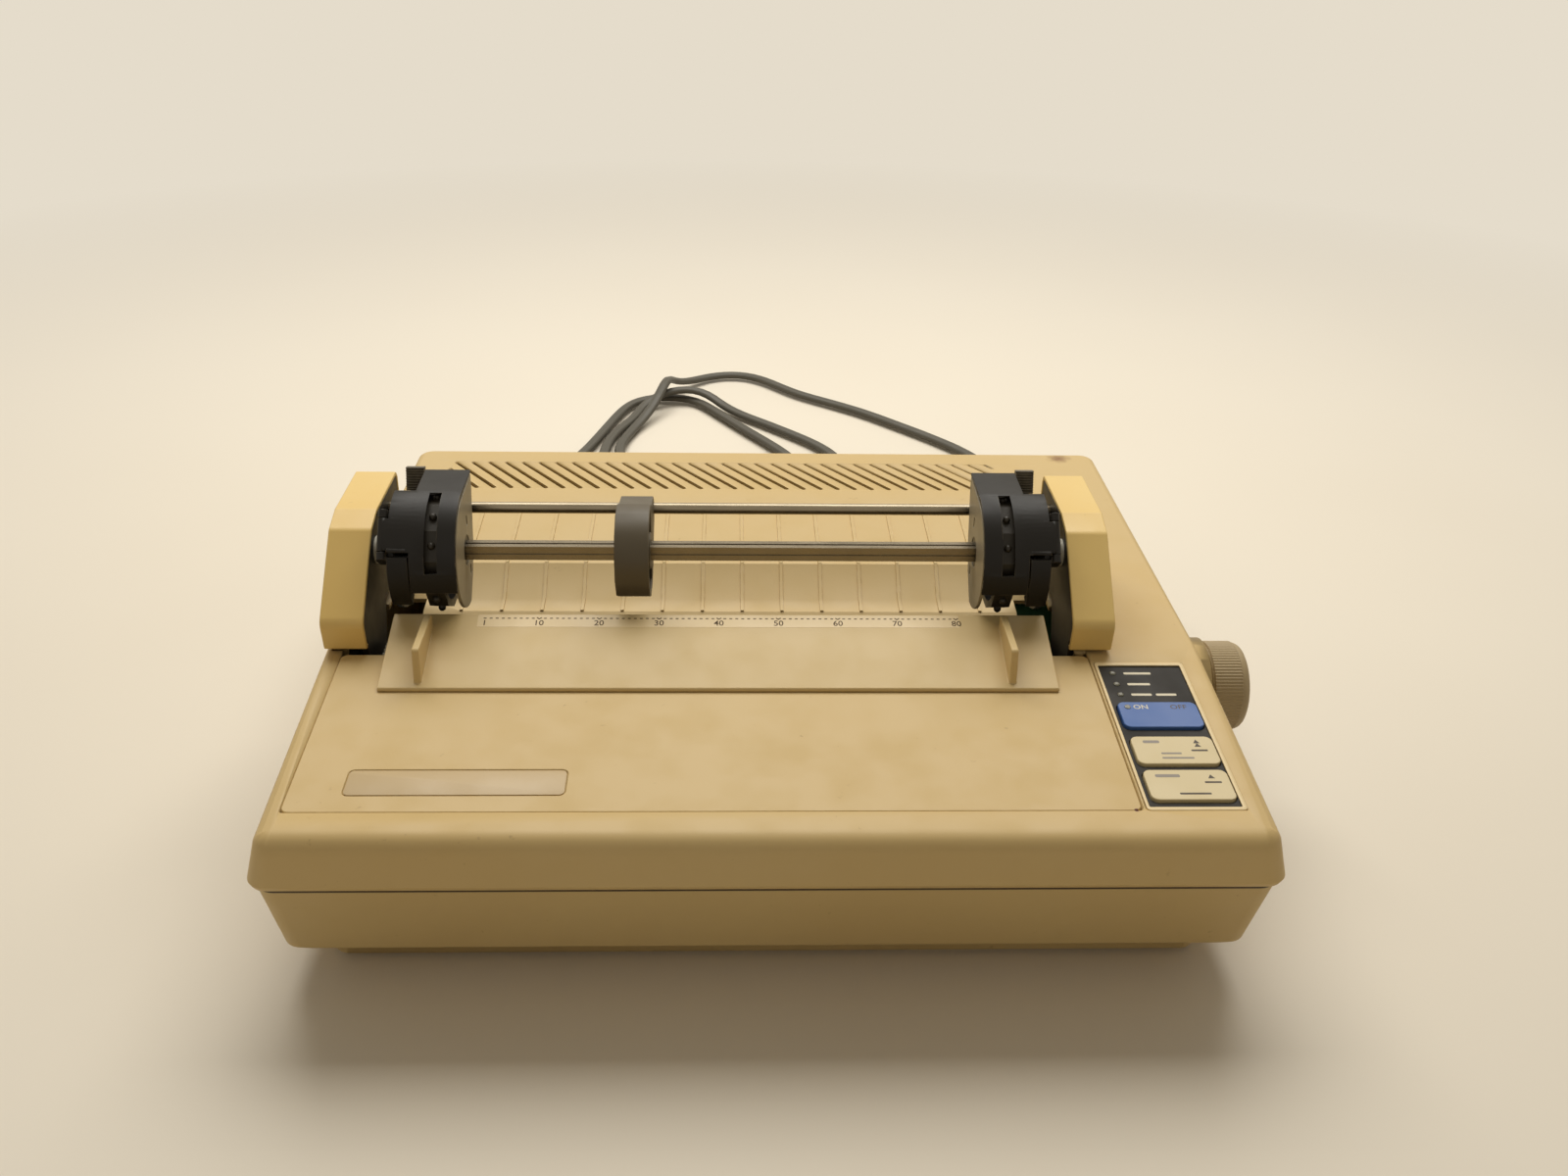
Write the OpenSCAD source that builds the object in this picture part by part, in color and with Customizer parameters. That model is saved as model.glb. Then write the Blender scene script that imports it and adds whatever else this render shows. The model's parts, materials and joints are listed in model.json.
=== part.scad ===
/* [Case] */
// Overall width of the case
body_w = 380; // [374:1:396]
// Overall depth of the case
body_d = 338; // [334:1:350]
// Height of the flat rear deck
deck_h = 89; // [88:0.5:91]
// Height of the top face at its front edge
front_h = 81; // [80:0.5:82]
// Height of the parting line between the two shells
seam_z = 59; // [57:0.5:60]
// Wall thickness of the shells
wall = 2.6; // [2.2:0.1:2.8]
// Radius of the upright corners
corner_r = 8; // [7.5:0.5:10]
// Radius of the front top edge
nose_r = 7; // [5:0.5:7]
// Radius of the other top edges
edge_r = 3.5; // [3:0.5:5]
// Inward lean of each upper wall
top_draft = 3.5; // [2:0.5:4]
// Height of the skirt's lower edge
skirt_z = 16; // [14:0.5:17]
// Inward rake of the front skirt
skirt_rake = 14; // [10:0.5:16]
// Inward lean of the side and rear skirts
skirt_draft = 1.5; // [1:0.5:3]
// Recess of the plinth behind the skirt
plinth_in = 12.5; // [10:0.5:14]
// Height of the rubber feet
foot_h = 2.5; // [2:0.5:4]
// Diameter of the rubber feet
foot_d = 14; // [12:1:18]

/* [Covers and panel] */
// Gap between the front cover and the case's side
cover_side = 11.5; // [10:0.5:13]
// Distance from the case's front to the front cover
cover_front = 17.5; // [16:0.5:20]
// Thickness of the front cover
cover_t = 2.5; // [2:0.1:2.8]
// Width of the control panel's recess
panel_w = 38.4; // [38:0.2:40]
// Margin between the control panel and the case's side
panel_side = 13.6; // [12:0.2:15]
// Width of the hood
hood_w = 278; // [270:1:280]
// Height of the hood's rear edge above the deck
hood_rise = 11; // [9:0.5:12]
// Height of the two fins on the hood above the deck
fin_rise = 15; // [13:0.5:16]

/* [Vents] */
// Distance between vent slots
vent_pitch = 9; // [8:0.5:12]
// Width of a vent slot
vent_w = 2.4; // [2:0.1:3]
// Depth of the slotted field
vent_d = 32.5; // [26:0.5:34]
// Sideways lean of each slot across the field
vent_lean = 24.7; // [16:0.1:26]

/* [Platen] */
// Radius of the rubber platen
platen_r = 15; // [14:0.25:15]
// Length of the rubber platen
platen_len = 258; // [250:1:262]
// Diameter of the platen shaft
platen_shaft_d = 8; // [7:0.5:9]
// Radius of the paper feed knob
knob_r = 20; // [18:0.5:21]
// Length of the knurled part of the knob
knob_len = 17; // [14:0.5:20]

/* [Tractor] */
// Distance between the two pin wheels
pin_span = 240.8; // [236:0.2:241]
// Radius of the pin wheel's flats
wheel_r = 24.25; // [23.5:0.05:24.4]
// Number of pins round a wheel
pins = 12; // [10:1:12]
// Width of a pin wheel
wheel_w = 8; // [7:0.5:9]
// Width of the square drive shaft
square_w = 6.4; // [6:0.1:6.6]
// Diameter of the round guide shaft
guide_shaft_d = 5; // [4.5:0.1:5.4]
// Width over the tractor's end covers
tractor_w = 332.8; // [331:0.2:334]
// Width of an end cover
end_cover_w = 18; // [17:0.5:18.5]
// Height of the end covers above the deck
end_cover_rise = 46.5; // [45:0.5:50]
// Width of the centre paper guide
centre_w = 14.5; // [12:0.5:16]

/* [Print mechanism] */
// Diameter of the carriage guide rod
rod_d = 8; // [7:0.5:9]
// Diameter of the print head's body
head_d = 24; // [20:1:26]
// Thickness of the chassis sheet
sheet_t = 1.6; // [1.2:0.1:1.8]

/* [Hidden] */
$fn = 48;
eps = 0.05;

// Case, measured from its middle on the table
hw = body_w / 2;
front_y = -body_d / 2;
rear_y = body_d / 2;
break_y = -42;          // where the level deck turns into the front slope
print_x = -19.5;        // middle of the print line and of the tractor
lip_in = 2;             // the lower shell stands back by this much at the seam
seam_gap = 0.8;
slope_y = front_y + 1 + corner_r;
slope_a = atan((deck_h - front_h) / (break_y - slope_y));
part_gap = 0.4;         // visible gap round a cover or a key
run_gap = 0.05;         // radial clearance of a running fit
beige = "#d8c29a";
shell_beige = "#dcc9a2";
cream = "#e3cf95";
black = "#26241f";
steel = "#b9b9b4";
grey = "#6d6c66";
nylon = "#e8e6dc";

// Platen line
platen_y = -37;
platen_z = deck_h - 25;
// Throat: the open slot behind the front cover where paper leaves
throat_x = tractor_w / 2 - 18.4;
throat_rear_y = 97;
cover_rear_y = -52;
// Front cover and panel, on the slope
cover_x0 = -hw + cover_side;
panel_x1 = hw - panel_side;
panel_x0 = panel_x1 - panel_w;
cover_x1 = panel_x0 - 1.5;
ledge = 4;
recess = cover_t + 0.1;
// slope distance from the break to a given y
function down(y) = (y - break_y) / cos(slope_a);
cover_v0 = down(front_y + cover_front);
cover_v1 = down(cover_rear_y);
panel_v0 = down(front_y + 17);
panel_v1 = down(-56.7);
// Hinge line of the front cover
lid_y = -54;
lid_z = deck_h - 7;
lid_pin_r = 1.8;
deck_edge_y = -48.4;    // front edge of the deck behind the front cover
ear_t = 3;

// Moves the case's middle so that the origin is under the middle of the whole printer, knob included
module placed() translate([(hw - knob_x - knob_len) / 2, 0, 0]) children();

module on_slope() translate([0, break_y, deck_h]) rotate([slope_a, 0, 0]) children();

// A flat outline given as (y, z), drawn out along X from x
module along_x(x, length) translate([x, 0, 0]) rotate([90, 0, 90]) linear_extrude(length) children();

// A cylinder lying along X
module bar_x(x, y, z, r, length) translate([x, y, z]) rotate([0, 90, 0]) cylinder(r = r, h = length);

module block(x0, x1, y0, y1, z0, z1) translate([x0, y0, z0]) cube([x1 - x0, y1 - y0, z1 - z0]);

module rounded_rect(x0, x1, y0, y1, r) {
    translate([x0 + r, y0]) square([x1 - x0 - 2 * r, y1 - y0]);
    translate([x0, y0 + r]) square([x1 - x0, y1 - y0 - 2 * r]);
    for (x = [x0 + r, x1 - r], y = [y0 + r, y1 - r]) translate([x, y]) circle(r);
}

module plate(x0, x1, y0, y1, z0, z1, r)
    translate([0, 0, z0]) linear_extrude(z1 - z0) rounded_rect(x0, x1, y0, y1, r);

// Points of an outline whose corners [x, y, radius] are rounded
function unit(v) = v / norm(v);
function cross_z(a, b) = a[0] * b[1] - a[1] * b[0];
function rounded(c, n = 5) = [for (i = [0:len(c) - 1])
    let (p = [c[i][0], c[i][1]], r = c[i][2],
        q0 = c[(i + len(c) - 1) % len(c)], q1 = c[(i + 1) % len(c)],
        a = unit([q0[0], q0[1]] - p), b = unit([q1[0], q1[1]] - p),
        half = acos(max(-1, min(1, a * b))) / 2,
        m = p + unit(a + b) * (r / sin(half)),
        s = p + a * (r / tan(half)), e = p + b * (r / tan(half)),
        a0 = atan2(s[1] - m[1], s[0] - m[0]), a1 = atan2(e[1] - m[1], e[0] - m[0]),
        turn = a1 - a0 > 180 ? a1 - a0 - 360 : (a1 - a0 < -180 ? a1 - a0 + 360 : a1 - a0))
    each r == 0 ? [p] : [for (k = [0:n]) m + r * [cos(a0 + turn * k / n), sin(a0 + turn * k / n)]]];
// The same corners moved inward by d; the corners run anticlockwise
function inset(c, d) = [for (i = [0:len(c) - 1])
    let (p = [c[i][0], c[i][1]],
        q0 = c[(i + len(c) - 1) % len(c)], q1 = c[(i + 1) % len(c)],
        u = unit(p - [q0[0], q0[1]]), v = unit([q1[0], q1[1]] - p),
        nu = [-u[1], u[0]], nv = [-v[1], v[0]],
        k = d / (1 + nu * nv))
    [p[0] + (nu[0] + nv[0]) * k, p[1] + (nu[1] + nv[1]) * k, max(0, c[i][2] - d)]];

// ---------- Shells ----------
// One upright corner of the upper shell with its top edge rounded
module corner_post(x, y, z, r, e)
    for (a = [0:22.5:90])
        translate([x, y, z - e + e * sin(a)]) cylinder(r = r - e + e * cos(a), h = 0.01, $fn = 32);

// The solid of the upper shell, moved inward by d
module upper_solid(d) hull() for (s = [-1, 1]) {
    for (y = [front_y + corner_r, rear_y - corner_r]) {
        translate([s * (hw - corner_r), y, seam_z - d]) cylinder(r = corner_r - lip_in / 2 - d, h = 0.1, $fn = 32);
        translate([s * (hw - corner_r), y, seam_z + lip_in]) cylinder(r = corner_r - d, h = 0.1, $fn = 32);
    }
    corner_post(s * (hw - top_draft - corner_r), slope_y, front_h - d, corner_r - d, nose_r - d);
    corner_post(s * (hw - top_draft - edge_r), break_y, deck_h - d, max(edge_r - d, 0.5), max(edge_r - d, 0.4));
    corner_post(s * (hw - top_draft - corner_r), rear_y - 1.5 - corner_r, deck_h - d, corner_r - d,
        max(edge_r - d, 0.4));
}

vent_y1 = rear_y - 19;
vent_x0 = print_x - 146.5;
vent_x1 = print_x + 146.5;
// Outline of a slot with round ends at a and b
function slot_outline(a, b, r) = let (t = atan2(b[1] - a[1], b[0] - a[0]))
    concat([for (k = [0:6]) polar(a, r, t + 90 + 30 * k)], [for (k = [0:6]) polar(b, r, t - 90 + 30 * k)]);
module vents() linear_extrude(20)
    for (i = [-2:ceil((vent_x1 - vent_x0) / vent_pitch) - 1]) {
        x = vent_x0 + 2 + i * vent_pitch;
        t0 = max(0, (vent_x0 - x) / vent_lean);
        t1 = min(1, (vent_x1 - x) / vent_lean);
        a = [x + t0 * vent_lean, vent_y1 - t0 * vent_d];
        b = [x + t1 * vent_lean, vent_y1 - t1 * vent_d];
        if (t1 - t0 > 0.12) polygon(slot_outline(a, b, vent_w / 2));
    }

// Screw posts that join the shells
post_r = 5;
posts = [[-hw + 14, front_y + 26], [hw - 14, front_y + 26], [-hw + 14, rear_y - 14], [hw - 14, rear_y - 14]];
screw_r = 1.6;
boss_r = 21.5;          // round boss on the case's side behind the knob
boss_out = 2;
shaft_hole_r = 6;
frame_slot_w = 3.5;     // slots in the deck for the tractor's legs
leg_y0 = -49;
leg_y1 = -9;

module knob_boss(z0, z1) intersection() {
    difference() {
        bar_x(hw - wall - top_draft, platen_y, platen_z, boss_r, wall + top_draft + boss_out);
        bar_x(hw - 20, platen_y, platen_z, shaft_hole_r, 40);
    }
    block(hw - 20, hw + 20, platen_y - 30, platen_y + 30, z0, z1);
}

module upper_case() color(shell_beige) {
    shell_top();
    difference() {
        for (s = [0, 1]) hinge_socket(s);
        for (s = [0, 1]) bar_x(s == 0 ? ear_x(0) - 6 : ear_x(1), lid_y, lid_z, lid_pin_r + run_gap, ear_t + 6);
    }
}
module shell_top() difference() {
    union() {
        difference() {
            upper_solid(0);
            upper_solid(wall);
            bar_x(hw - 20, platen_y, platen_z, boss_r - 1, 40);
        }
        knob_boss(seam_z, deck_h);
        // ledge under the front cover and floor of the panel recess
        intersection() {
            upper_solid(0.5);
            on_slope() translate([cover_x0 - 3, cover_v0 - 3, -recess - wall])
                cube([panel_x1 + 3 - (cover_x0 - 3), cover_v1 - cover_v0 + 3, recess + wall]);
        }
        for (p = posts) translate([p[0], p[1], seam_z + 0.5])
            cylinder(r = post_r, h = (p[1] < 0 ? front_h : deck_h) - seam_z - wall / 2 - 0.5);
        // ribs that carry the rear edge of the paper guide
        for (x = [-120, 0, 120]) block(print_x + x - 2, print_x + x + 2, throat_rear_y, throat_rear_y + 8,
            deck_h - 8, deck_h - wall / 2);
    }
    for (s = [0, 1]) bar_x(s == 0 ? ear_x(0) - 6 : ear_x(1), lid_y, lid_z, lid_pin_r + run_gap, ear_t + 6);
    // recess of the front cover, and the opening through its ledge
    on_slope() {
        plate(cover_x0 - part_gap, cover_x1 + part_gap, cover_v0 - part_gap, down(deck_edge_y), -recess, 5, 1.5);
        plate(cover_x0 + ledge, cover_x1 - ledge, cover_v0 + ledge, down(deck_edge_y), -40, 5, 3);
        plate(cover_x0 - part_gap, cover_x1 + part_gap, down(lid_y - 4), down(deck_edge_y), -recess - wall - 1, 5, 0.5);
        plate(panel_x0, panel_x1, panel_v0, panel_v1, -panel_deep, 5, 1.5);
        for (k = key_v) plate(key_x0 - 1, key_x1 + 1, k[0] - 1, k[1] + 1, -20, 5, 2);
    }
    // throat between the tractor's frames
    plate(print_x - throat_x, print_x + throat_x, deck_edge_y - 5, throat_rear_y, deck_h - 20, deck_h + 20, 2);
    block(print_x - tractor_w / 2 + 2.5, print_x - throat_x + 1, leg_y0, leg_y1, deck_h - 20, deck_h + 20);
    block(print_x + throat_x - 1, print_x + throat_x + frame_slot_w, leg_y0, leg_y1, deck_h - 20, deck_h + 20);
    translate([0, 0, deck_h - 10]) vents();
    for (p = posts) translate([p[0], p[1], seam_z]) cylinder(r = screw_r, h = 14);
}

// Sockets for the front cover's hinge pins; side 0 is the left one
socket_w = 5;
socket_r = 3.6;
function ear_x(side) = side == 0 ? cover_x0 + ledge + part_gap : cover_x1 - ledge - part_gap - ear_t;
module hinge_socket(side) {
    x = side == 0 ? ear_x(0) - part_gap - socket_w : ear_x(1) + ear_t + part_gap;
    bar_x(x, lid_y, lid_z, socket_r, socket_w);
    block(x, x + socket_w, lid_y - 11, lid_y, lid_z - socket_r, lid_z + 1.2);
}

// One flat layer of the lower shell
module tray_layer(z, d, rake, lean, r, h = 0.1)
    for (x = [-1, 1], y = [front_y + lip_in + d + rake + r, rear_y - lip_in - d - lean - r])
        translate([x * (hw - lip_in - d - lean - r), y, z]) cylinder(r = r, h = h, $fn = 32);

module tray_solid(d, z_top) hull() {
    tray_layer(skirt_z + d, d, skirt_rake + 3, skirt_draft + 3, corner_r - d);
    tray_layer(skirt_z + d + 3, d, skirt_rake, skirt_draft, corner_r - d);
    tray_layer(z_top, d, 0, 0, corner_r - d);
}
plinth_x = hw - lip_in - skirt_draft - plinth_in;
plinth_y0 = front_y + lip_in + skirt_rake + plinth_in + 1.5;
plinth_y1 = rear_y - lip_in - skirt_draft - plinth_in;
floor_z = foot_h + wall;   // inside floor of the plinth
module plinth(d) hull() {
    translate([0, 0, foot_h + d]) linear_extrude(0.1)
        rounded_rect(-plinth_x + 2 + d, plinth_x - 2 - d, plinth_y0 + 1 + d, plinth_y1 - 1 - d, 6 - d);
    translate([0, 0, skirt_z + 1 + d]) linear_extrude(0.1)
        rounded_rect(-plinth_x + d, plinth_x - d, plinth_y0 + d, plinth_y1 - d, 8 - d);
}

base_z = 8;             // underside of the chassis plate
board_z = 22;
board_posts = [[-40, 50], [60, 50], [-40, 140], [60, 140], [150, 50], [150, 140]];
stand_x = [print_x - 100, print_x, print_x + 100];
stand_y = [-125, 15];
cord_x = -150;
cord_z = 36;
cord_d = 7.4;
gland_r = 6;
port_x0 = 20;
port_x1 = 92;
port_z0 = 26;
port_z1 = 42;
switch_y0 = 104;
switch_y1 = 126;
switch_z0 = 32;
switch_z1 = 46;
module lower_case() color(beige) difference() {
    union() {
        difference() {
            union() {
                tray_solid(0, seam_z - seam_gap);
                plinth(0);
            }
            tray_solid(wall, seam_z + 1);
            plinth(wall);
            bar_x(hw - 20, platen_y, platen_z, boss_r - 1, 40);
        }
        // tongue that enters the upper shell
        intersection() {
            difference() {
                plate(-hw + lip_in + 1.5, hw - lip_in - 1.5, front_y + lip_in + 1.5, rear_y - lip_in - 1.5,
                    seam_z - 4, seam_z + 2.5, corner_r - 1.5);
                plate(-hw + lip_in + 3, hw - lip_in - 3, front_y + lip_in + 3, rear_y - lip_in - 3,
                    seam_z - 5, seam_z + 3, corner_r - 3);
            }
            block(-hw, hw - 30, front_y, rear_y, 0, 100);
        }
        knob_boss(seam_z - 30, seam_z - seam_gap);
        for (p = posts) translate([p[0], p[1], skirt_z + 1]) cylinder(r = post_r, h = seam_z - skirt_z - 1);
        for (x = stand_x, y = stand_y) translate([x, y, floor_z - 1]) cylinder(r = 4, h = base_z - floor_z + 1);
        for (p = board_posts) translate([p[0], p[1], floor_z - 1]) cylinder(r = 3.5, h = board_z - floor_z + 1);
    }
    for (p = posts) {
        translate([p[0], p[1], skirt_z - 1]) cylinder(r = screw_r + 0.3, h = seam_z);
        translate([p[0], p[1], skirt_z - 1]) cylinder(r = screw_r + 2, h = 12);
    }
    for (x = stand_x, y = stand_y) translate([x, y, floor_z]) cylinder(r = screw_r, h = 20);
    for (p = board_posts) translate([p[0], p[1], floor_z + 6]) cylinder(r = screw_r, h = 20);
    // cord gland, interface port and power switch
    translate([cord_x, rear_y - 12, cord_z]) rotate([-90, 0, 0]) cylinder(r = gland_r, h = 20);
    block(port_x0, port_x1, rear_y - 12, rear_y + 5, port_z0, port_z1);
    block(-hw - 5, -hw + 12, switch_y0, switch_y1, switch_z0, switch_z1);
    for (p = feet) translate([p[0], p[1], foot_h - 1]) cylinder(d = foot_d, h = 2);
}

feet = [[-plinth_x + 18, plinth_y0 + 16], [plinth_x - 18, plinth_y0 + 16],
    [-plinth_x + 18, plinth_y1 - 16], [plinth_x - 18, plinth_y1 - 16]];
module rubber_feet() color(black) for (p = feet)
    translate([p[0], p[1], 0]) {
        cylinder(d1 = foot_d - 1, d2 = foot_d, h = 1);
        translate([0, 0, 1]) cylinder(d = foot_d, h = foot_h);
    }

// A screw with a domed cross head, its point up
module screw(z, length) translate([0, 0, z]) {
    cylinder(r = screw_r - run_gap, h = length);
    translate([0, 0, -1.8]) cylinder(r = screw_r + 1.4, h = 1.8);
}
module screws() color(steel) {
    for (p = posts) translate([p[0], p[1], 0]) screw(skirt_z + 11, seam_z - skirt_z - 3);
    for (x = stand_x, y = stand_y) translate([x, y, 0]) mirror([0, 0, 1])
        screw(-base_z - sheet_t, 8 - floor_z + sheet_t - 0.5);
    for (p = board_posts) translate([p[0], p[1], 0]) mirror([0, 0, 1])
        screw(-board_z - sheet_t, 8);
}

// ---------- Front cover and hood ----------
badge_x0 = -158.7;
badge_w = 82;
badge_v = [-100.7, -85.6];
module front_cover() color(beige) difference() {
    union() {
        on_slope() {
            plate(cover_x0, cover_x1, cover_v0, cover_v1, -cover_t, 0, 3);
            // stiffening rim inside the ledge
            difference() {
                plate(cover_x0 + ledge + 1, cover_x1 - ledge - 1, cover_v0 + ledge + 1, cover_v1 - 2,
                    -cover_t - 4, -cover_t + eps, 2);
                plate(cover_x0 + ledge + 3, cover_x1 - ledge - 3, cover_v0 + ledge + 3, cover_v1 - 4,
                    -cover_t - 5, -cover_t, 1);
            }
        }
        for (s = [0, 1]) hinge_ear(s);
    }
    on_slope() difference() {
        plate(badge_x0, badge_x0 + badge_w, badge_v[0], badge_v[1], -0.8, 1, 2.5);
        plate(badge_x0 + 0.8, badge_x0 + badge_w - 0.8, badge_v[0] + 0.8, badge_v[1] - 0.8, -2, -0.3, 1.8);
    }
}

module hinge_ear(side) {
    x = ear_x(side);
    along_x(x, ear_t) {
        translate([lid_y, lid_z]) circle(r = lid_pin_r + 2);
        polygon([[lid_y - 3.5, lid_z], [lid_y + 3.5, lid_z], [lid_y + 2, slope_z(lid_y) - cover_t + 0.1],
            [lid_y - 9, slope_z(lid_y - 9) - cover_t + 0.1]]);
    }
    bar_x(side == 0 ? x - part_gap - socket_w + 0.5 : x + ear_t - eps, lid_y, lid_z, lid_pin_r,
        socket_w + part_gap - 0.5 + eps);
}

hood_x0 = print_x - hood_w / 2;
hood_x1 = print_x + hood_w / 2;
hood_y0 = -78.5;
hood_y1 = -37;
hood_z1 = deck_h + hood_rise;
hood_t = 2.2;
function slope_z(y) = deck_h + (y - break_y) * tan(slope_a);
hood_z0 = slope_z(hood_y0) + 2;
fin_t = 3;
module hood_lid() color(beige) {
    along_x(hood_x0, hood_w) polygon([[hood_y0, hood_z0 - 1.8], [hood_y0, hood_z0 - 0.6],
        [hood_y0 + 0.6, hood_z0], [hood_y1 - 0.6, hood_z1], [hood_y1, hood_z1 - 0.6],
        [hood_y1, hood_z1 - hood_t - 1.5], [hood_y1 - 2, hood_z1 - hood_t - 1.5], [hood_y1 - 2.2, hood_z1 - hood_t - 0.4],
        [hood_y0 + 5, hood_z0 - hood_t + 2], [hood_y0 + 3, hood_z0 - 1.7]]);
    for (x = [hood_x0, hood_x1 - 2]) along_x(x, 2)
        polygon([[hood_y0 + 2, slope_z(hood_y0 + 2) + 0.2], [cover_rear_y, slope_z(cover_rear_y) + 0.2],
            [hood_y1, hood_z1 - 5], [hood_y1, hood_z1 - 1], [hood_y0 + 2, hood_z0 - 0.5]]);
    // clips that hold the hood in the front cover's rear edge
    for (x = [hood_x0 + 30, hood_x1 - 42]) block(x, x + 12, cover_rear_y - 4, cover_rear_y - 2,
        slope_z(cover_rear_y - 2) + 0.02, deck_h + 4);
    for (x = [print_x - 123, print_x + 121.5 - fin_t / 2]) along_x(x - fin_t / 2, fin_t)
        polygon(rounded([[hood_y0 + 2.5, hood_z0 - 0.2, 0], [hood_y0 + 6, hood_z0 + 0.5, 0], [hood_y1 - 7, hood_z1 - 2.5, 0],
            [hood_y1 - 7, deck_h + fin_rise, 2], [hood_y0 + 4.5, deck_h + fin_rise, 1.5]]));
}

// ---------- Control panel ----------
panel_deep = 1.6;
panel_t = 1;
key_x0 = panel_x0 + 3.4;
key_x1 = panel_x1 - 2.6;
key_v = [[-60.6, -43.9], [-83.7, -66.6], [-104.8, -87.2]];
lamp_v = [-22.2, -29.9, -37.2];
lamp_x = panel_x0 + 6.9;
key_rise = 1.4;
key_under = 4;
module control_panel() color(black) on_slope() difference() {
    plate(panel_x0 + 0.9, panel_x1 - 1.4, panel_v0 + 1.6, panel_v1 - 2, -panel_deep, -panel_deep + panel_t, 1);
    for (k = key_v) plate(key_x0 - part_gap, key_x1 + part_gap, k[0] - part_gap, k[1] + part_gap, -5, 5, 3.4);
    for (v = lamp_v) translate([lamp_x, v, -5]) cylinder(r = 1.3, h = 10);
}
// A cap that slides down through the panel; k is its front and rear edge
module key_cap(k) on_slope() {
    plate(key_x0, key_x1, k[0], k[1], -panel_deep - 1, key_rise - panel_deep + panel_t, 3);
    plate(key_x0 + 3, key_x1 - 3, k[0] + 3, k[1] - 3, -panel_deep - key_under, -panel_deep - 0.5, 2);
}
key_travel = 1.5;
// Board with the key switches, hung from the case on four posts
board_v = -12;
module key_board() on_slope() {
    x0 = panel_x0 + 1;
    x1 = panel_x1 - 7;
    color("#3d5a3a") translate([0, 0, board_v - 1.6]) linear_extrude(1.6)
        rounded_rect(x0, x1, key_v[2][0] - 2, panel_v1 - 3, 1);
    color(black) for (k = key_v) {
        plate((x0 + x1) / 2 - 6, (x0 + x1) / 2 + 6, (k[0] + k[1]) / 2 - 6, (k[0] + k[1]) / 2 + 6,
            board_v - eps, -panel_deep - key_under - key_travel - 0.8, 1);
    }
    color(beige) for (x = [x0 + 1.5, x1 - 1.5], v = [panel_v1 - 4.5, key_v[2][0] - 0.5])
        translate([x, v, board_v - eps]) cylinder(r = 1.4, h = -recess - wall - board_v + eps);
}
module online_key() color("#4d6c9c") key_cap(key_v[0]);
module form_feed_key() color(cream) key_cap(key_v[1]);
module line_feed_key() color(cream) key_cap(key_v[2]);
module panel_lamps() color("#7c8a80") on_slope() for (v = lamp_v) translate([lamp_x, v, 0]) {
    translate([0, 0, -panel_deep]) cylinder(r = 1.3, h = panel_t + 0.2);
    translate([0, 0, -panel_deep + panel_t + 0.2]) cylinder(r1 = 1.3, r2 = 0.8, h = 0.3);
}

// ---------- Paper guide ----------
guide_w = 2 * throat_x - 2;
rib_pitch = 18.7;
rib_w = 1.5;
guide_y = [throat_rear_y - 0.3, 94, 41, 25, 15, -10, -18];
guide_z = [deck_h - 2.5, deck_h - 2.7, deck_h - 5, deck_h - 16, deck_h - 17, deck_h - 30.5, deck_h - 42];
module guide_line(t, from = 0, to = 6) polygon(concat(
    [for (i = [from:to]) [guide_y[i], guide_z[i] + t]], [for (i = [to:-1:from]) [guide_y[i], guide_z[i] - 2]]));
module paper_guide() color(shell_beige) {
    along_x(print_x - guide_w / 2, guide_w) guide_line(0, 0, 3);
    along_x(print_x - side_x + 0.5, 2 * side_x - 1) guide_line(0, 3, 6);
    for (i = [-7:6]) along_x(print_x + (i + 0.5) * rib_pitch - rib_w / 2, rib_w) guide_line(0.8, 1, 4);
    // feet on the chassis base
    for (x = [-120, 120]) block(print_x + x - 5, print_x + x + 5, 19, 23, base_z + sheet_t, deck_h - 17.5);
}

// ---------- Chassis ----------
side_x = 139.5;         // inside face of a side plate from the print middle
rod_y = -80;
rod_z = 38;
roller_r = 6;
roller_a = -60;
roller_gap = 0.3;
roller_y = platen_y + (platen_r + roller_r + roller_gap) * cos(roller_a);
roller_z = platen_z + (platen_r + roller_r + roller_gap) * sin(roller_a);
bush_r = 6.5;
side_outline = [[-134, base_z + sheet_t, 0], [23, base_z + sheet_t, 0],
    [23, platen_z - 14, 4], [6, platen_z + 4, 4], [-18, platen_z + 10, 4], [-56, platen_z + 10, 6],
    [-66, platen_z - 4, 4], [-134, platen_z - 20, 6]];
module side_plate_at(x) difference() {
    union() {
        along_x(x, sheet_t) polygon(rounded(side_outline));
        along_x(x < print_x ? x : x - 9, 9 + sheet_t) polygon([[-106, base_z + sheet_t], [-24, base_z + sheet_t],
            [-24, base_z + 2 * sheet_t], [-106, base_z + 2 * sheet_t]]);
    }
    bar_x(x - 15, platen_y, platen_z, bush_r, 30);
    bar_x(x - 15, rod_y, rod_z, rod_d / 2, 30);
    bar_x(x - 15, roller_y, roller_z, 3 + run_gap, 30);
    if (x < print_x) bar_x(x - 15, motor_y, motor_z, 8, 30);
}
module chassis_left() color(steel) {
    side_plate_at(print_x - side_x - sheet_t);
    // stud that carries the reduction gear
    bar_x(print_x - side_x - sheet_t - 7, stage_y, stage_z, 2.5, 7.5);
}
module chassis_right() color(steel) side_plate_at(print_x + side_x);
rail_y = -112;
rail_z = 44;
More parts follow.
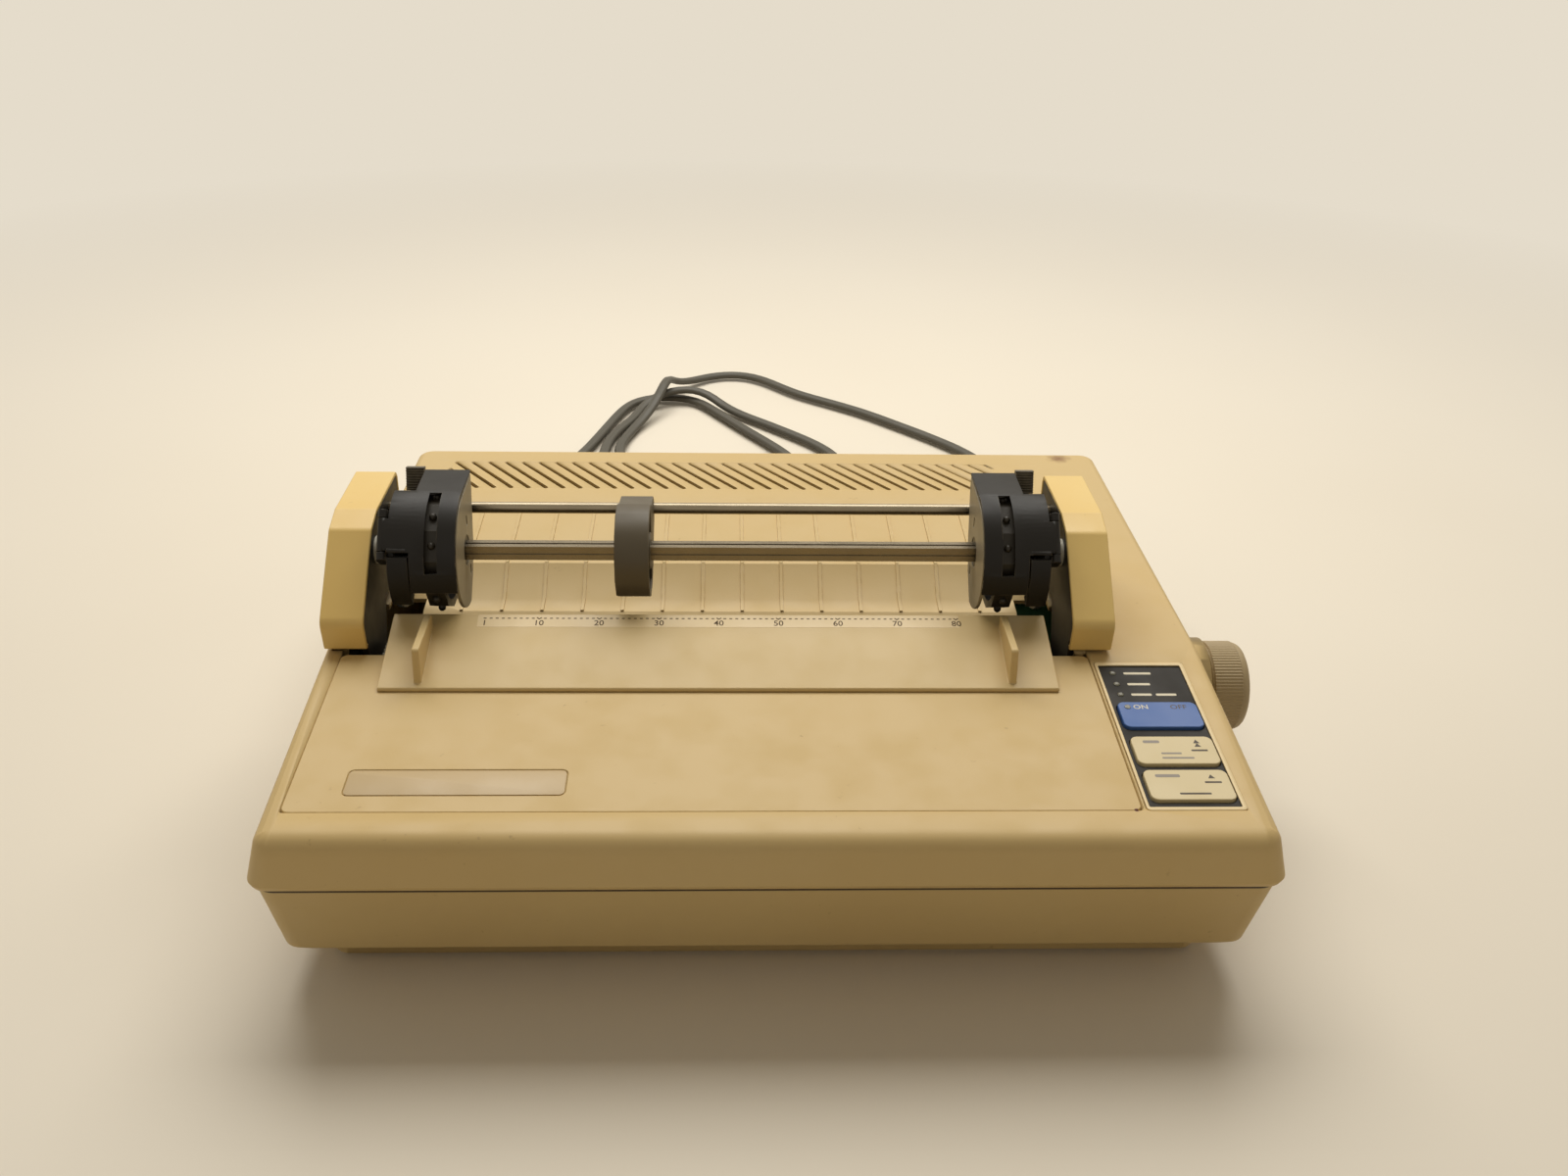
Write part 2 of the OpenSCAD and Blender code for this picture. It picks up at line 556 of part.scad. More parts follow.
module chassis_base() color("#8f8f88") difference() {
    union() {
        block(print_x - side_x, print_x + side_x, -134.5, 24, base_z, base_z + sheet_t);
        // bent-up front rail on which the carriage slides
        block(print_x - side_x + 0.5, print_x + side_x - 0.5, rail_y - sheet_t, rail_y, base_z, rail_z);
        // post of the belt's idler pulley
        translate([idle_x, belt_y, base_z]) {
            cylinder(r = 4, h = belt_z - 4 - base_z);
            cylinder(r = 1.5, h = belt_z + 5.5 - base_z);
        }
    }
    for (x = stand_x, y = stand_y) translate([x, y, base_z - 1]) cylinder(r = screw_r + 0.2, h = 5);
}

// ---------- Gears ----------
tooth_top = 0.85;
tooth_root = 1.2;
// Straight-sided teeth with backlash; one tooth's middle points at angle a
module gear_outline(teeth, m, a) {
    r = teeth * m / 2;
    p = 360 / teeth;
    polygon([for (i = [0:teeth - 1], c = [[-0.29, -tooth_root], [-0.2, 0], [-0.1, tooth_top],
            [0.1, tooth_top], [0.2, 0], [0.29, -tooth_root]])
        (r + c[1] * m) * [cos(a + (i + c[0]) * p), sin(a + (i + c[0]) * p)]]);
}
// Angle of the second gear's tooth so that it meshes with the first one's;
// way is the direction from the first gear's axis to the second one's
function mesh(a, teeth_a, teeth_b, way) =
    way + 180 - 360 / teeth_b * (0.5 - (way - a) * teeth_a / 360);
function way(p, q) = atan2(q[1] - p[1], q[0] - p[0]);
function polar(p, r, a) = p + r * [cos(a), sin(a)];
// Where two circles round p and q meet, on the left of the line from p to q
function meet(p, q, rp, rq) = let (d = norm(q - p), u = (q - p) / d,
    s = (rp * rp - rq * rq + d * d) / (2 * d), h = sqrt(rp * rp - s * s)) p + s * u + h * [-u[1], u[0]];

mesh_gap = 0.12;
platen_at = [platen_y, platen_z];
// feed train inside the left of the chassis
m_feed = 0.8;
n_platen = 48;
n_stage_small = 16;
m_motor = 0.5;
n_stage_large = 60;
n_motor = 14;
stage_at = polar(platen_at, (n_platen + n_stage_small) * m_feed / 2 + mesh_gap, -20);
motor_at = polar(stage_at, (n_stage_large + n_motor) * m_motor / 2 + mesh_gap, -52);
stage_y = stage_at[0];
stage_z = stage_at[1];
motor_y = motor_at[0];
motor_z = motor_at[1];
feed_x = print_x - side_x - sheet_t - 3.4;   // left face of the platen's feed gear
feed_w = 3;
// tractor train inside the left end cover
m_tractor = 0.6;
n_takeoff = 18;
n_idler = 26;
n_shaft = 29;
shaft_y = -16;
shaft_z = deck_h + 30.6;
shaft_at = [shaft_y, shaft_z];
d_first = (n_takeoff + n_idler) * m_tractor / 2 + mesh_gap;
d_idler = n_idler * m_tractor + mesh_gap;
d_last = (n_shaft + n_idler) * m_tractor / 2 + mesh_gap;
lower_at = polar(platen_at, d_first, way(platen_at, shaft_at) + 10);
upper_at = polar(shaft_at, d_last, way(shaft_at, platen_at) - 10);
middle_at = meet(lower_at, upper_at, d_idler, d_idler);
a_takeoff = 0;
a_lower = mesh(a_takeoff, n_takeoff, n_idler, way(platen_at, lower_at));
a_middle = mesh(a_lower, n_idler, n_idler, way(lower_at, middle_at));
a_upper = mesh(a_middle, n_idler, n_idler, way(middle_at, upper_at));
a_shaft = mesh(a_upper, n_idler, n_shaft, way(upper_at, shaft_at));
a_stage = mesh(0, n_platen, n_stage_small, way(platen_at, stage_at));
a_motor = mesh(0, n_stage_large, n_motor, way(stage_at, motor_at));
train_x = print_x - tractor_w / 2 + 7;   // left face of the tractor train
train_w = 4;
stud_r = 2;

// ---------- Platen ----------
shaft_end_r = 3;
knob_x = hw + boss_out + 1.2;
module platen_shaft() color(steel) {
    bar_x(print_x - side_x - sheet_t - 0.2, platen_y, platen_z, platen_shaft_d / 2,
        knob_x + 2 - (print_x - side_x - sheet_t - 0.2));
    bar_x(train_x - 1, platen_y, platen_z, shaft_end_r, print_x - side_x - sheet_t - train_x + 2);
    bar_x(knob_x, platen_y, platen_z, shaft_end_r, knob_len - 4);
}
module platen_roller() color("#1f1e1c") difference() {
    bar_x(print_x - platen_len / 2, platen_y, platen_z, platen_r, platen_len);
    bar_x(print_x - platen_len, platen_y, platen_z, platen_shaft_d / 2, 2 * platen_len);
}
ridges = 88;
module platen_knob() color("#cdb487") difference() {
    union() {
        along_x(knob_x + 1, knob_len - 5) translate(platen_at) polygon([for (i = [0:2 * ridges - 1])
            (knob_r - (i % 2 == 0 ? 0 : 0.5)) * [cos(i * 180 / ridges), sin(i * 180 / ridges)]]);
        translate([knob_x, platen_y, platen_z]) rotate([0, 90, 0]) rotate_extrude(convexity = 4)
            polygon(rounded([[0, 0, 0], [knob_r - 1, 0, 0.8], [knob_r - 0.6, knob_len, 3.5], [0, knob_len, 0]]));
    }
    bar_x(knob_x - 1, platen_y, platen_z, shaft_end_r, knob_len - 3);
    bar_x(knob_x - 1, platen_y, platen_z, platen_shaft_d / 2, 3);
    translate([knob_x + knob_len - 1.2, platen_y, platen_z]) rotate([0, 90, 0])
        rotate_extrude() translate([knob_r - 9, 0]) square([4, 2]);
}
module platen_gear() color(nylon) difference() {
    union() {
        along_x(feed_x, feed_w) translate(platen_at) gear_outline(n_platen, m_feed, 0);
        along_x(train_x, train_w) translate(platen_at) gear_outline(n_takeoff, m_tractor, a_takeoff);
        bar_x(train_x + train_w - 1, platen_y, platen_z, 4.4, feed_x - train_x - train_w + 2);
    }
    bar_x(train_x - 2, platen_y, platen_z, shaft_end_r, 40);
    for (a = [0:60:300]) bar_x(feed_x - 1, platen_y + 11.5 * cos(a), platen_z + 11.5 * sin(a), 3.5, 10);
}
module shaft_bushes() color(nylon) {
    for (x = [print_x - side_x - sheet_t, print_x + side_x]) difference() {
        union() {
            bar_x(x, platen_y, platen_z, bush_r, sheet_t);
            bar_x(x < print_x ? x + sheet_t : x - 1.5, platen_y, platen_z, bush_r + 1.5, 1.5);
        }
        bar_x(x - 5, platen_y, platen_z, platen_shaft_d / 2 + run_gap, 10);
    }
    for (s = [-1, 1]) tractor_side(s) difference() {
        union() {
            bar_x(frame_x, shaft_y, shaft_z, 4.5, frame_t);
            bar_x(frame_x + frame_t, shaft_y, shaft_z, 6, 1.2);
        }
        bar_x(frame_x - 5, shaft_y, shaft_z, journal_r + run_gap, 20);
    }
}
module reduction_gear() color(nylon) difference() {
    union() {
        along_x(feed_x, feed_w - 0.2) translate(stage_at) gear_outline(n_stage_small, m_feed, a_stage);
        along_x(feed_x - 3.5, 3) translate(stage_at) gear_outline(n_stage_large, m_motor, 0);
        bar_x(feed_x - 1, stage_y, stage_z, 5, 1.5);
    }
    bar_x(feed_x - 10, stage_y, stage_z, 2.5 + run_gap, 20);
    for (a = [0:60:300]) bar_x(feed_x - 5, stage_y + 10 * cos(a), stage_z + 10 * sin(a), 2.4, 4.6);
}
motor_r = 14;
motor_shaft_r = 1.5;
module feed_motor() color("#3a3a3a") difference() {
    union() {
        bar_x(print_x - side_x, motor_y, motor_z, motor_r, 24);
        bar_x(print_x - side_x - sheet_t, motor_y, motor_z, 7.5, sheet_t + 1);
    }
    bar_x(print_x - side_x - sheet_t - 1, motor_y, motor_z, motor_shaft_r + run_gap, 16);
}
module motor_pinion() color("#c9b26a") {
    along_x(feed_x - 3.5, 3) translate(motor_at) gear_outline(n_motor, m_motor, a_motor);
    bar_x(feed_x - 1, motor_y, motor_z, 2.2, 2.5);
    bar_x(feed_x - 1, motor_y, motor_z, motor_shaft_r, 16);
}
module pressure_rollers() {
    color(steel) bar_x(print_x - side_x - sheet_t, roller_y, roller_z, 3, 2 * side_x + 2 * sheet_t);
    color("#2b2a28") for (x = [-100, -35, 35, 100])
        bar_x(print_x + x - 14, roller_y, roller_z, roller_r, 28);
}

// ---------- Carriage ----------
home_x = print_x - 100;
belt_y = -125;
belt_z = 31;
pulley_r = 7;
drive_x = print_x - 128;
idle_x = print_x + 128;
module carriage_rod() color(steel)
    bar_x(print_x - side_x - sheet_t, rod_y, rod_z, rod_d / 2, 2 * (side_x + sheet_t));
module carriage() color("#33312d") difference() {
    union() {
        block(home_x - 22, home_x + 22, rail_y + 6, rod_y + 8, rod_z - 8, rod_z + 9);
        block(home_x - 12, home_x + 12, rail_y - 4, rail_y + 6.5, rod_z + 1, rod_z + 9);
        block(home_x - 12, home_x + 12, belt_y - 7.5 + 3, rail_y - 3, rod_z + 1, rod_z + 9);
        // arms that hold the print head
        for (x = [home_x - 16, home_x + 13]) block(x, x + 3, -98, rod_y + 4, rod_z + 8, platen_z + 4);
        // fork over the belt
        for (y = [belt_y + pulley_r - 3.2, belt_y + pulley_r + 1.9])
            block(home_x - 8, home_x + 8, y, y + 1.5, belt_z - 2, rod_z + 2);
    }
    bar_x(home_x - 30, rod_y, rod_z, rod_d / 2 + run_gap, 60);
    // slot that rides on the rail
    block(home_x - 30, home_x + 30, rail_y - sheet_t - 0.25, rail_y + 0.25, 0, rail_z + 0.25);
}
nose_y = platen_y - platen_r - 0.7;
module print_head() color("#4b4a47") {
    translate([home_x, -96, platen_z]) rotate([-90, 0, 0]) cylinder(d = head_d, h = 22);
    translate([home_x, -74.2, platen_z]) rotate([-90, 0, 0]) cylinder(d1 = 18, d2 = 8, h = 16);
    block(home_x - 2.5, home_x + 2.5, -60, nose_y, platen_z - 5, platen_z + 5);
    for (y = [-94:4:-78]) block(home_x - 13, home_x + 13, y, y + 1.5, platen_z - 2, platen_z + 14);
}
cart_z0 = platen_z - 12;
module ribbon_cartridge() color("#1c1b1a") difference() {
    union() {
        plate(home_x - 32, home_x + 32, -108, -98.5, rod_z + 9, cart_z0 + 22, 2);
        for (s = [-1, 1]) {
            x = home_x + s * 24;
            block(x - 8, x + 8, -100, -64, rod_z + 9, cart_z0 + 20);
            block(x - (s < 0 ? 2 : 4), x + (s < 0 ? 4 : 2), -65, -56, cart_z0 + 4, cart_z0 + 18);
        }
        // ribbon between the arm tips
        block(home_x - 22, home_x + 22, nose_y + 0.1, nose_y + 0.35, cart_z0 + 6, cart_z0 + 18);
        for (s = [-1, 1]) block(home_x + s * 22 - 0.5, home_x + s * 22 + 0.5, -57, nose_y + 0.35,
            cart_z0 + 6, cart_z0 + 18);
    }
    translate([home_x + 24, -80, cart_z0 + 14]) cylinder(r = 2 + run_gap, h = 20);
}
module ribbon_knob() color("#3f3d38") translate([home_x + 24, -80, cart_z0 + 20.2]) {
    translate([0, 0, -5.9]) cylinder(r = 2, h = 6);
    cylinder(r = 6, h = 1.2);
    linear_extrude(4) polygon([for (i = [0:35]) (i % 2 == 0 ? 5.2 : 4.6) * [cos(i * 10), sin(i * 10)]]);
}
module carriage_motor() color("#3a3a3a") translate([drive_x, belt_y, base_z + sheet_t]) {
    cylinder(r = 10.5, h = belt_z - 5 - base_z - sheet_t);
    cylinder(r = 1.5, h = belt_z + 5.5 - base_z - sheet_t);
}
module pulley() difference() {
    translate([0, 0, belt_z - 4]) {
        cylinder(r = pulley_r, h = 8);
        for (z = [0, 7]) translate([0, 0, z]) cylinder(r = pulley_r + 1.5, h = 1);
    }
    translate([0, 0, belt_z - 10]) cylinder(r = 1.5 + run_gap, h = 20);
}
module drive_pulley() color(nylon) translate([drive_x, belt_y, 0]) pulley();
module idler_pulley() color(nylon) translate([idle_x, belt_y, 0]) pulley();
belt_t = 1.2;
belt_gap = 0.25;
module belt_loop(r) {
    translate([drive_x, belt_y - r]) square([idle_x - drive_x, 2 * r]);
    for (x = [drive_x, idle_x]) translate([x, belt_y]) circle(r);
}
module timing_belt() color("#24221f") translate([0, 0, belt_z - 2.5]) linear_extrude(5) difference() {
    belt_loop(pulley_r + belt_gap + belt_t);
    belt_loop(pulley_r + belt_gap);
}

// ---------- Electrics ----------
module main_board() {
    color("#3d5a3a") difference() {
        block(-48, 158, 42, 160, board_z, board_z + sheet_t);
        for (p = board_posts) translate([p[0], p[1], board_z - 1]) cylinder(r = screw_r + 0.2, h = 5);
    }
    color("#1d1d1d") {
        for (x = [-30, 0, 30]) block(x, x + 15, 70, 122, board_z + sheet_t - eps, board_z + sheet_t + 4);
        for (x = [100, 125], y = [60, 90]) block(x, x + 18, y, y + 8, board_z + sheet_t - eps, board_z + sheet_t + 4);
        for (x = [110, 130]) translate([x, 122, board_z + sheet_t - eps]) cylinder(r = 7, h = 22);
    }
}
module interface_connector() color("#8b8c8a") {
    block(port_x0 + 6, port_x1 - 6, 146, 159, board_z + sheet_t, port_z1 - 1);
    difference() {
        block(port_x0 + 6, port_x1 - 6, 158, rear_y - 0.5, port_z0 + 1, port_z1 - 1);
        block(port_x0 + 9, port_x1 - 9, 162, rear_y + 5, port_z0 + 3.5, port_z1 - 3.5);
    }
    block(port_x0 + part_gap, port_x1 - part_gap, 158, 161, port_z0 + part_gap, port_z1 - part_gap);
    block(port_x0 + 13, port_x1 - 13, 161, rear_y - 1, (port_z0 + port_z1) / 2 - 1.2, (port_z0 + port_z1) / 2 + 1.2);
}
module transformer() {
    color("#5b5a57") block(-150, -84, 66, 122, floor_z + 1.2, floor_z + 47);
    color("#a8642c") block(-144, -90, 56, 132, floor_z + 8, floor_z + 40);
    color("#5b5a57") for (x = [-148, -94], y = [52, 124]) block(x, x + 8, y, y + 12, floor_z, floor_z + 2);
}
rocker_x = -hw + 8;
rocker_y = (switch_y0 + switch_y1) / 2;
rocker_z = (switch_z0 + switch_z1) / 2;
module power_switch() color(black) difference() {
    union() {
        block(-hw + 2, -hw + 18, switch_y0, switch_y1, switch_z0, switch_z1);
        block(-hw + 0.8, -hw + 2.4, switch_y0 - 1.2, switch_y1 + 1.2, switch_z0 - 1.2, switch_z1 + 1.2);
    }
    block(-hw - 5, -hw + 14, switch_y0 + 2, switch_y1 - 2, switch_z0 + 2, switch_z1 - 2);
    translate([rocker_x, rocker_y, switch_z0 - 2]) cylinder(r = 1.2 + run_gap, h = switch_z1 - switch_z0 + 4);
}
module power_rocker() color("#3c3b38") {
    translate([rocker_x, rocker_y, switch_z0 + 2.4]) rotate(-7) linear_extrude(switch_z1 - switch_z0 - 4.8)
        polygon([[-7, -7], [-5.8, 0], [-7, 7], [-1, 7], [3, 1], [3, -1], [-1, -7]]);
    translate([rocker_x, rocker_y, switch_z0]) cylinder(r = 1.2, h = switch_z1 - switch_z0);
}

// ---------- Mains cord ----------
relief_len = 30;
gland_y = rear_y - lip_in - 1;
module cord_gland() color(black) translate([cord_x, gland_y, cord_z]) rotate([-90, 0, 0]) {
    translate([0, 0, -6]) cylinder(r = gland_r, h = 8);
    translate([0, 0, 0.4]) cylinder(r = 8, h = 2.5);
    translate([0, 0, 2.9]) cylinder(r1 = 6.5, r2 = cord_d / 2 + 0.7, h = relief_len - 2.9);
}
// Route of the cord on the table, chosen by hand: x, y, height of its middle
cord_points = [[-150, 196, 36], [-150, 214, 34], [-150, 231, 26], [-149, 247, 15], [-147, 265, 6.5],
    [-143, 287, 4], [-137, 310, 4], [-130, 333, 4], [-122, 354, 4], [-115, 375, 4], [-109, 398, 4],
    [-91, 458.5, 4], [-80.5, 469.5, 4], [-66, 474, 4], [-51.5, 472, 4], [-39, 463.5, 4], [-27, 445, 4],
    [-1, 403, 4], [12, 383, 4], [24, 362, 4], [32, 340, 4], [33, 318, 4], [24, 299, 4], [7, 287, 4],
    [-15, 283, 4], [-38, 284, 4], [-61, 289, 4], [-81, 301, 4], [-95, 319, 4], [-103, 341, 4],
    [-104, 364, 4], [-102, 387, 4], [-96, 409, 4], [-88, 427, 4], [-84.5, 441.5, 4], [-80, 455, 5.5],
    [-72, 464, 8.5], [-62.5, 469, 10.5], [-52, 470.5, 12], [-42, 469, 12], [-32, 464.5, 10], [-23, 455, 6],
    [-8, 439, 4], [9, 422, 4], [26, 404, 4], [42, 386, 4], [55, 366, 4], [61, 344, 4], [57, 327, 6],
    [46, 316, 10], [30, 311, 12.5], [13, 311, 10], [-5, 313, 5.5], [-30, 315, 4], [-56, 319, 4],
    [-76, 331, 4], [-89, 349, 4], [-94, 368, 4], [-92, 387, 4], [-86, 409, 4], [-78, 428, 7],
    [-71, 445, 12.5], [-66, 461, 18.5], [-63, 476, 18.5], [-57, 492, 10], [-46, 508, 5], [-31, 521, 4],
    [-14, 525.5, 4], [3, 520, 4], [37, 483, 4], [60, 465, 4], [84, 445, 4], [106, 422, 4], [127, 399, 4],
    [147, 374, 4], [159, 351, 4.5], [163, 328, 8], [162, 308, 10.5], [162, 296, 11]];
cord_sides = 8;
function ring_frame(p, i) = let (a = p[max(i - 1, 0)], b = p[min(i + 1, len(p) - 1)], t = unit(b - a),
    s = unit(cross(t, [0, 0, 1])), u = cross(s, t)) [s, u];
module swept_tube(p, r) {
    n = len(p);
    polyhedron(
        points = [for (i = [0:n - 1]) let (f = ring_frame(p, i)) for (k = [0:cord_sides - 1])
            p[i] + r * (cos(k * 360 / cord_sides) * f[0] + sin(k * 360 / cord_sides) * f[1])],
        faces = concat([[for (k = [0:cord_sides - 1]) k]],
            [for (i = [0:n - 2], k = [0:cord_sides - 1]) let (a = i * cord_sides, j = (k + 1) % cord_sides)
                [a + k, a + cord_sides + k, a + cord_sides + j, a + j]],
            [[for (k = [cord_sides - 1:-1:0]) (n - 1) * cord_sides + k]]));
}
module power_cord() color("#2c2b28") swept_tube(cord_points, cord_d / 2);
// Moulded plug lying on the table, its blades towards the printer
plug_z = 11;
module power_plug() {
    color("#2c2b28") translate([162, 296, plug_z]) rotate([90, 0, 0]) {
        cylinder(r1 = cord_d / 2 + 0.8, r2 = 7, h = 20);
        translate([0, 0, 18]) linear_extrude(26) rounded_rect(-13, 13, -plug_z, plug_z - 1, 5);
        translate([0, 0, 44]) linear_extrude(3) rounded_rect(-11, 11, -9, 8, 4);
    }
    color(steel) translate([162, 249.5, plug_z]) rotate([90, 0, 0]) {
        for (x = [-6.35, 6.35]) translate([x - 0.75, -3 + 1.5, 0]) cube([1.5, 6.3, 18]);
        translate([0, -5.5, 0]) cylinder(r = 2.4, h = 20);
    }
}

// ---------- Tractor ----------
// The left half is drawn with x from the print middle; the right half is its mirror
module tractor_side(s) translate([print_x, 0, 0]) mirror([s > 0 ? 1 : 0, 0, 0]) children();
cover_top = deck_h + end_cover_rise;
end_outline = [[-51, deck_h + 1, 1.5], [34, deck_h + 1, 2], [34, cover_top, 4], [-9, cover_top, 5],
    [-21.5, cover_top - 3.5, 5], [-53, cover_top - 32, 6]];
end_wall = 2;
frame_t = 2.5;
frame_x = -tractor_w / 2 + end_cover_w - frame_t - 0.2;
guide_y_at = 13.5;
guide_z_at = deck_h + 37;
journal_r = 2.5;
module end_cover() difference() {
    along_x(-tractor_w / 2, end_cover_w) polygon(rounded(end_outline));
    along_x(-tractor_w / 2 + end_wall, end_cover_w) polygon(rounded(inset(end_outline, end_wall)));
    block(-tractor_w / 2 + end_wall, 0, leg_y0, leg_y1 + 41, deck_h - 5, deck_h + end_wall + 2);
}
module end_cover_left() color(cream) tractor_side(-1) end_cover();
module end_cover_right() color(cream) tractor_side(1) end_cover();
frame_outline = concat(inset(end_outline, end_wall + 0.3));
module tractor_frame() difference() {
    union() {
        along_x(frame_x, frame_t) {
            intersection() {
                polygon(rounded(frame_outline));
                translate([-60, deck_h + 4.5]) square([120, 80]);
            }
            // leg that goes down to the platen
            polygon(rounded([[leg_y0 + 1, deck_h + 6, 0], [leg_y0 + 1, platen_z + 8, 2], [-46, platen_z - 6, 2],
                [-28, platen_z - 6, 2], [-18, platen_z + 8, 3], [leg_y1 - 1, deck_h + 6, 0]]));
        }
        // feet on the deck beside the leg
        block(frame_x - 6, frame_x + frame_t, -48, -43, deck_h, deck_h + 6);
        block(frame_x - 6, frame_x + frame_t, 14, 30, deck_h, deck_h + 6);
    }
    bar_x(frame_x - 10, shaft_y, shaft_z, 4.5, 30);
    bar_x(frame_x - 10, guide_y_at, guide_z_at, guide_shaft_d / 2, 30);
    bar_x(frame_x - 10, platen_y, platen_z, 6.5, 30);
    along_x(frame_x - 10, 30) polygon([[platen_y - 6.5, platen_z], [platen_y - 6.5, platen_z - 14], [platen_y + 6.5, platen_z - 14],
        [platen_y + 6.5, platen_z]]);
}
module tractor_frame_left() color(black) {
    tractor_side(-1) tractor_frame();
    for (p = [lower_at, middle_at, upper_at])
        bar_x(train_x - 0.5, p[0], p[1], stud_r, print_x + frame_x - train_x + 1);
}
module tractor_frame_right() color(black) tractor_side(1) tractor_frame();
module guide_shaft() color("#4a4a48")
    bar_x(print_x + frame_x - 1, guide_y_at, guide_z_at, guide_shaft_d / 2, -2 * frame_x + 2);
square_half = -frame_x - frame_t - 1.5;
module drive_shaft() {
    color(steel) along_x(print_x - square_half, 2 * square_half) translate(shaft_at) difference() {
        square(square_w, center = true);
        for (a = [0:90:270]) rotate(a) translate([square_w / 2, 0]) square([1.2, 1.2], center = true);
    }
    color(steel) bar_x(train_x - 1, shaft_y, shaft_z, journal_r,
        print_x - square_half - train_x + 1 + eps);
    color(steel) bar_x(print_x + square_half - eps, shaft_y, shaft_z, journal_r, frame_t + 4);
    color(black) along_x(train_x, train_w) translate(shaft_at) gear_outline(n_shaft, m_tractor, a_shaft);
}
module idler_gear(at, a) color(black) difference() {
    along_x(train_x, train_w) translate(at) gear_outline(n_idler, m_tractor, a);
    bar_x(train_x - 1, at[0], at[1], stud_r + run_gap, train_w + 2);
}
module idler_gear_lower() idler_gear(lower_at, a_lower);
module idler_gear_middle() idler_gear(middle_at, a_middle);
module idler_gear_upper() idler_gear(upper_at, a_upper);

// Sprocket unit, drawn for the left side; the wheel's middle is at wheel_x
wheel_x = -pin_span / 2;
unit_x0 = wheel_x - 18;
unit_x1 = wheel_x + 8.9;   // inner plate, short of the guide shaft
plate_t = 1.5;
unit_t = 2.5;
tube_r = 6;
lever_x = unit_x0 + unit_t + 0.3;
lever_w = 5.3;
lever_pad_w = 8;
lever_r = 8.5;
hub_r = 6.5;
cheek_r = wheel_r + 0.7;
flap_r = wheel_r + 2.45;
flap_t = 1.3;
pin_r = 1.6;
// The flap's hinge line lies beside the wheel, square to the radius that leans by flap_lean
flap_lean = 40;
hinge_r = flap_r - 0.95;
hinge_half = 7;
knuckle_r = 1.9;
hinge_x = unit_x0 - knuckle_r - 0.3;
hinge_pin_r = 0.9;
module on_flap_hinge() translate([0, shaft_y, shaft_z]) rotate([-flap_lean, 0, 0]) children();
module cheek(x, t) along_x(x, t) {
    translate(shaft_at) circle(r = cheek_r);
    translate([guide_y_at, guide_z_at]) circle(r = 8);
    polygon([[shaft_y, shaft_z + cheek_r], [guide_y_at, guide_z_at + 8], [guide_y_at + 8, guide_z_at],
        [guide_y_at + 2, shaft_z - 16], [shaft_y, shaft_z - cheek_r]]);
}
// Thin rib between the lever and the wheel, and the bridge from it to the inner plate
rib_x = lever_x + lever_w + 0.4;
bridge_y = shaft_y + 18.6;
bridge_z = shaft_z + flap_r - 0.5;
function arc(r, a0, a1, n) = [for (k = [0:n]) shaft_at + r * [-cos(a0 + (a1 - a0) * k / n), sin(a0 + (a1 - a0) * k / n)]];
function arc_strip(r0, r1, a0, a1, n) = concat(arc(r1, a0, a1, n), arc(r0, a1, a0, n));
guard_a = 20;
module sprocket_frame() difference() {
    union() {
        cheek(unit_x0, unit_t);
        // tubes on the guide shaft and the web that joins them
        difference() {
            union() {
                bar_x(unit_x0, guide_y_at, guide_z_at, tube_r, wheel_x + 4 - unit_x0);
                block(unit_x0, wheel_x + 4, guide_y_at - 1.5, guide_y_at + 8, shaft_z - 14, guide_z_at);
            }
            bar_x(wheel_x - wheel_w / 2 - 0.6, shaft_y, shaft_z, wheel_r + 3.4, wheel_w + 1.2);
            difference() {
                bar_x(lever_x - 0.3, guide_y_at, guide_z_at, lever_r + 0.5, lever_w + 0.6);
                bar_x(lever_x - 1, guide_y_at, guide_z_at, tube_r, lever_w + 2);
            }
        }
        along_x(rib_x, plate_t) polygon([[bridge_y, bridge_z], [shaft_y + 22, bridge_z], [guide_y_at + 6, guide_z_at + 6],
            [guide_y_at + 8, guide_z_at - 8], [guide_y_at - 1.5, shaft_z - 14], [guide_y_at - 4, guide_z_at]]);
        block(rib_x, unit_x1 + plate_t, bridge_y, shaft_y + 22, bridge_z - 5, bridge_z);
        // curved guard over the wheel's outer side, below the flap
        along_x(unit_x0, lever_pad_w + 0.6) polygon(arc_strip(cheek_r - 2, flap_r + flap_t - 0.1, -30, guard_a, 10));
        // lugs that carry the flap's hinge pin
        on_flap_hinge() {
            for (z = [-hinge_half - 3.8, hinge_half + 0.3]) {
                translate([hinge_x, -hinge_r, z]) cylinder(r = knuckle_r, h = 3.5);
                block(hinge_x - knuckle_r, unit_x0 + 0.1, -hinge_r, 8 - hinge_r, z, z + 3.5);
            }
            translate([hinge_x, -hinge_r, -hinge_half - 2]) cylinder(r = hinge_pin_r, h = 2 * hinge_half + 4);
        }
    }
    bar_x(unit_x0 - 5, guide_y_at, guide_z_at, guide_shaft_d / 2 + run_gap, 60);
    bar_x(unit_x0 - 5, shaft_y, shaft_z, hub_r + run_gap, 20);
}
module sprocket_side_plate() difference() {
    along_x(unit_x1, plate_t) polygon(concat(arc(cheek_r, -90, 90, 24), [[shaft_y + 22, bridge_z],
        [shaft_y + 22, shaft_z + 21.4], [shaft_y + 15.8, shaft_z - 2.6], [shaft_y + 9.5, shaft_z - 15]]));
    bar_x(unit_x1 - 5, shaft_y, shaft_z, hub_r + run_gap, 20);
    // slots beside the hub
    for (z = [-14, 9.5]) block(unit_x1 - 1, unit_x1 + 3, shaft_y + 4, shaft_y + 6, shaft_z + z, shaft_z + z + 4.5);
}
module sprocket_unit(s) {
    color(black) tractor_side(s) sprocket_frame();
    color("#8f8e88") tractor_side(s) sprocket_side_plate();
}
module sprocket_frame_left() sprocket_unit(-1);
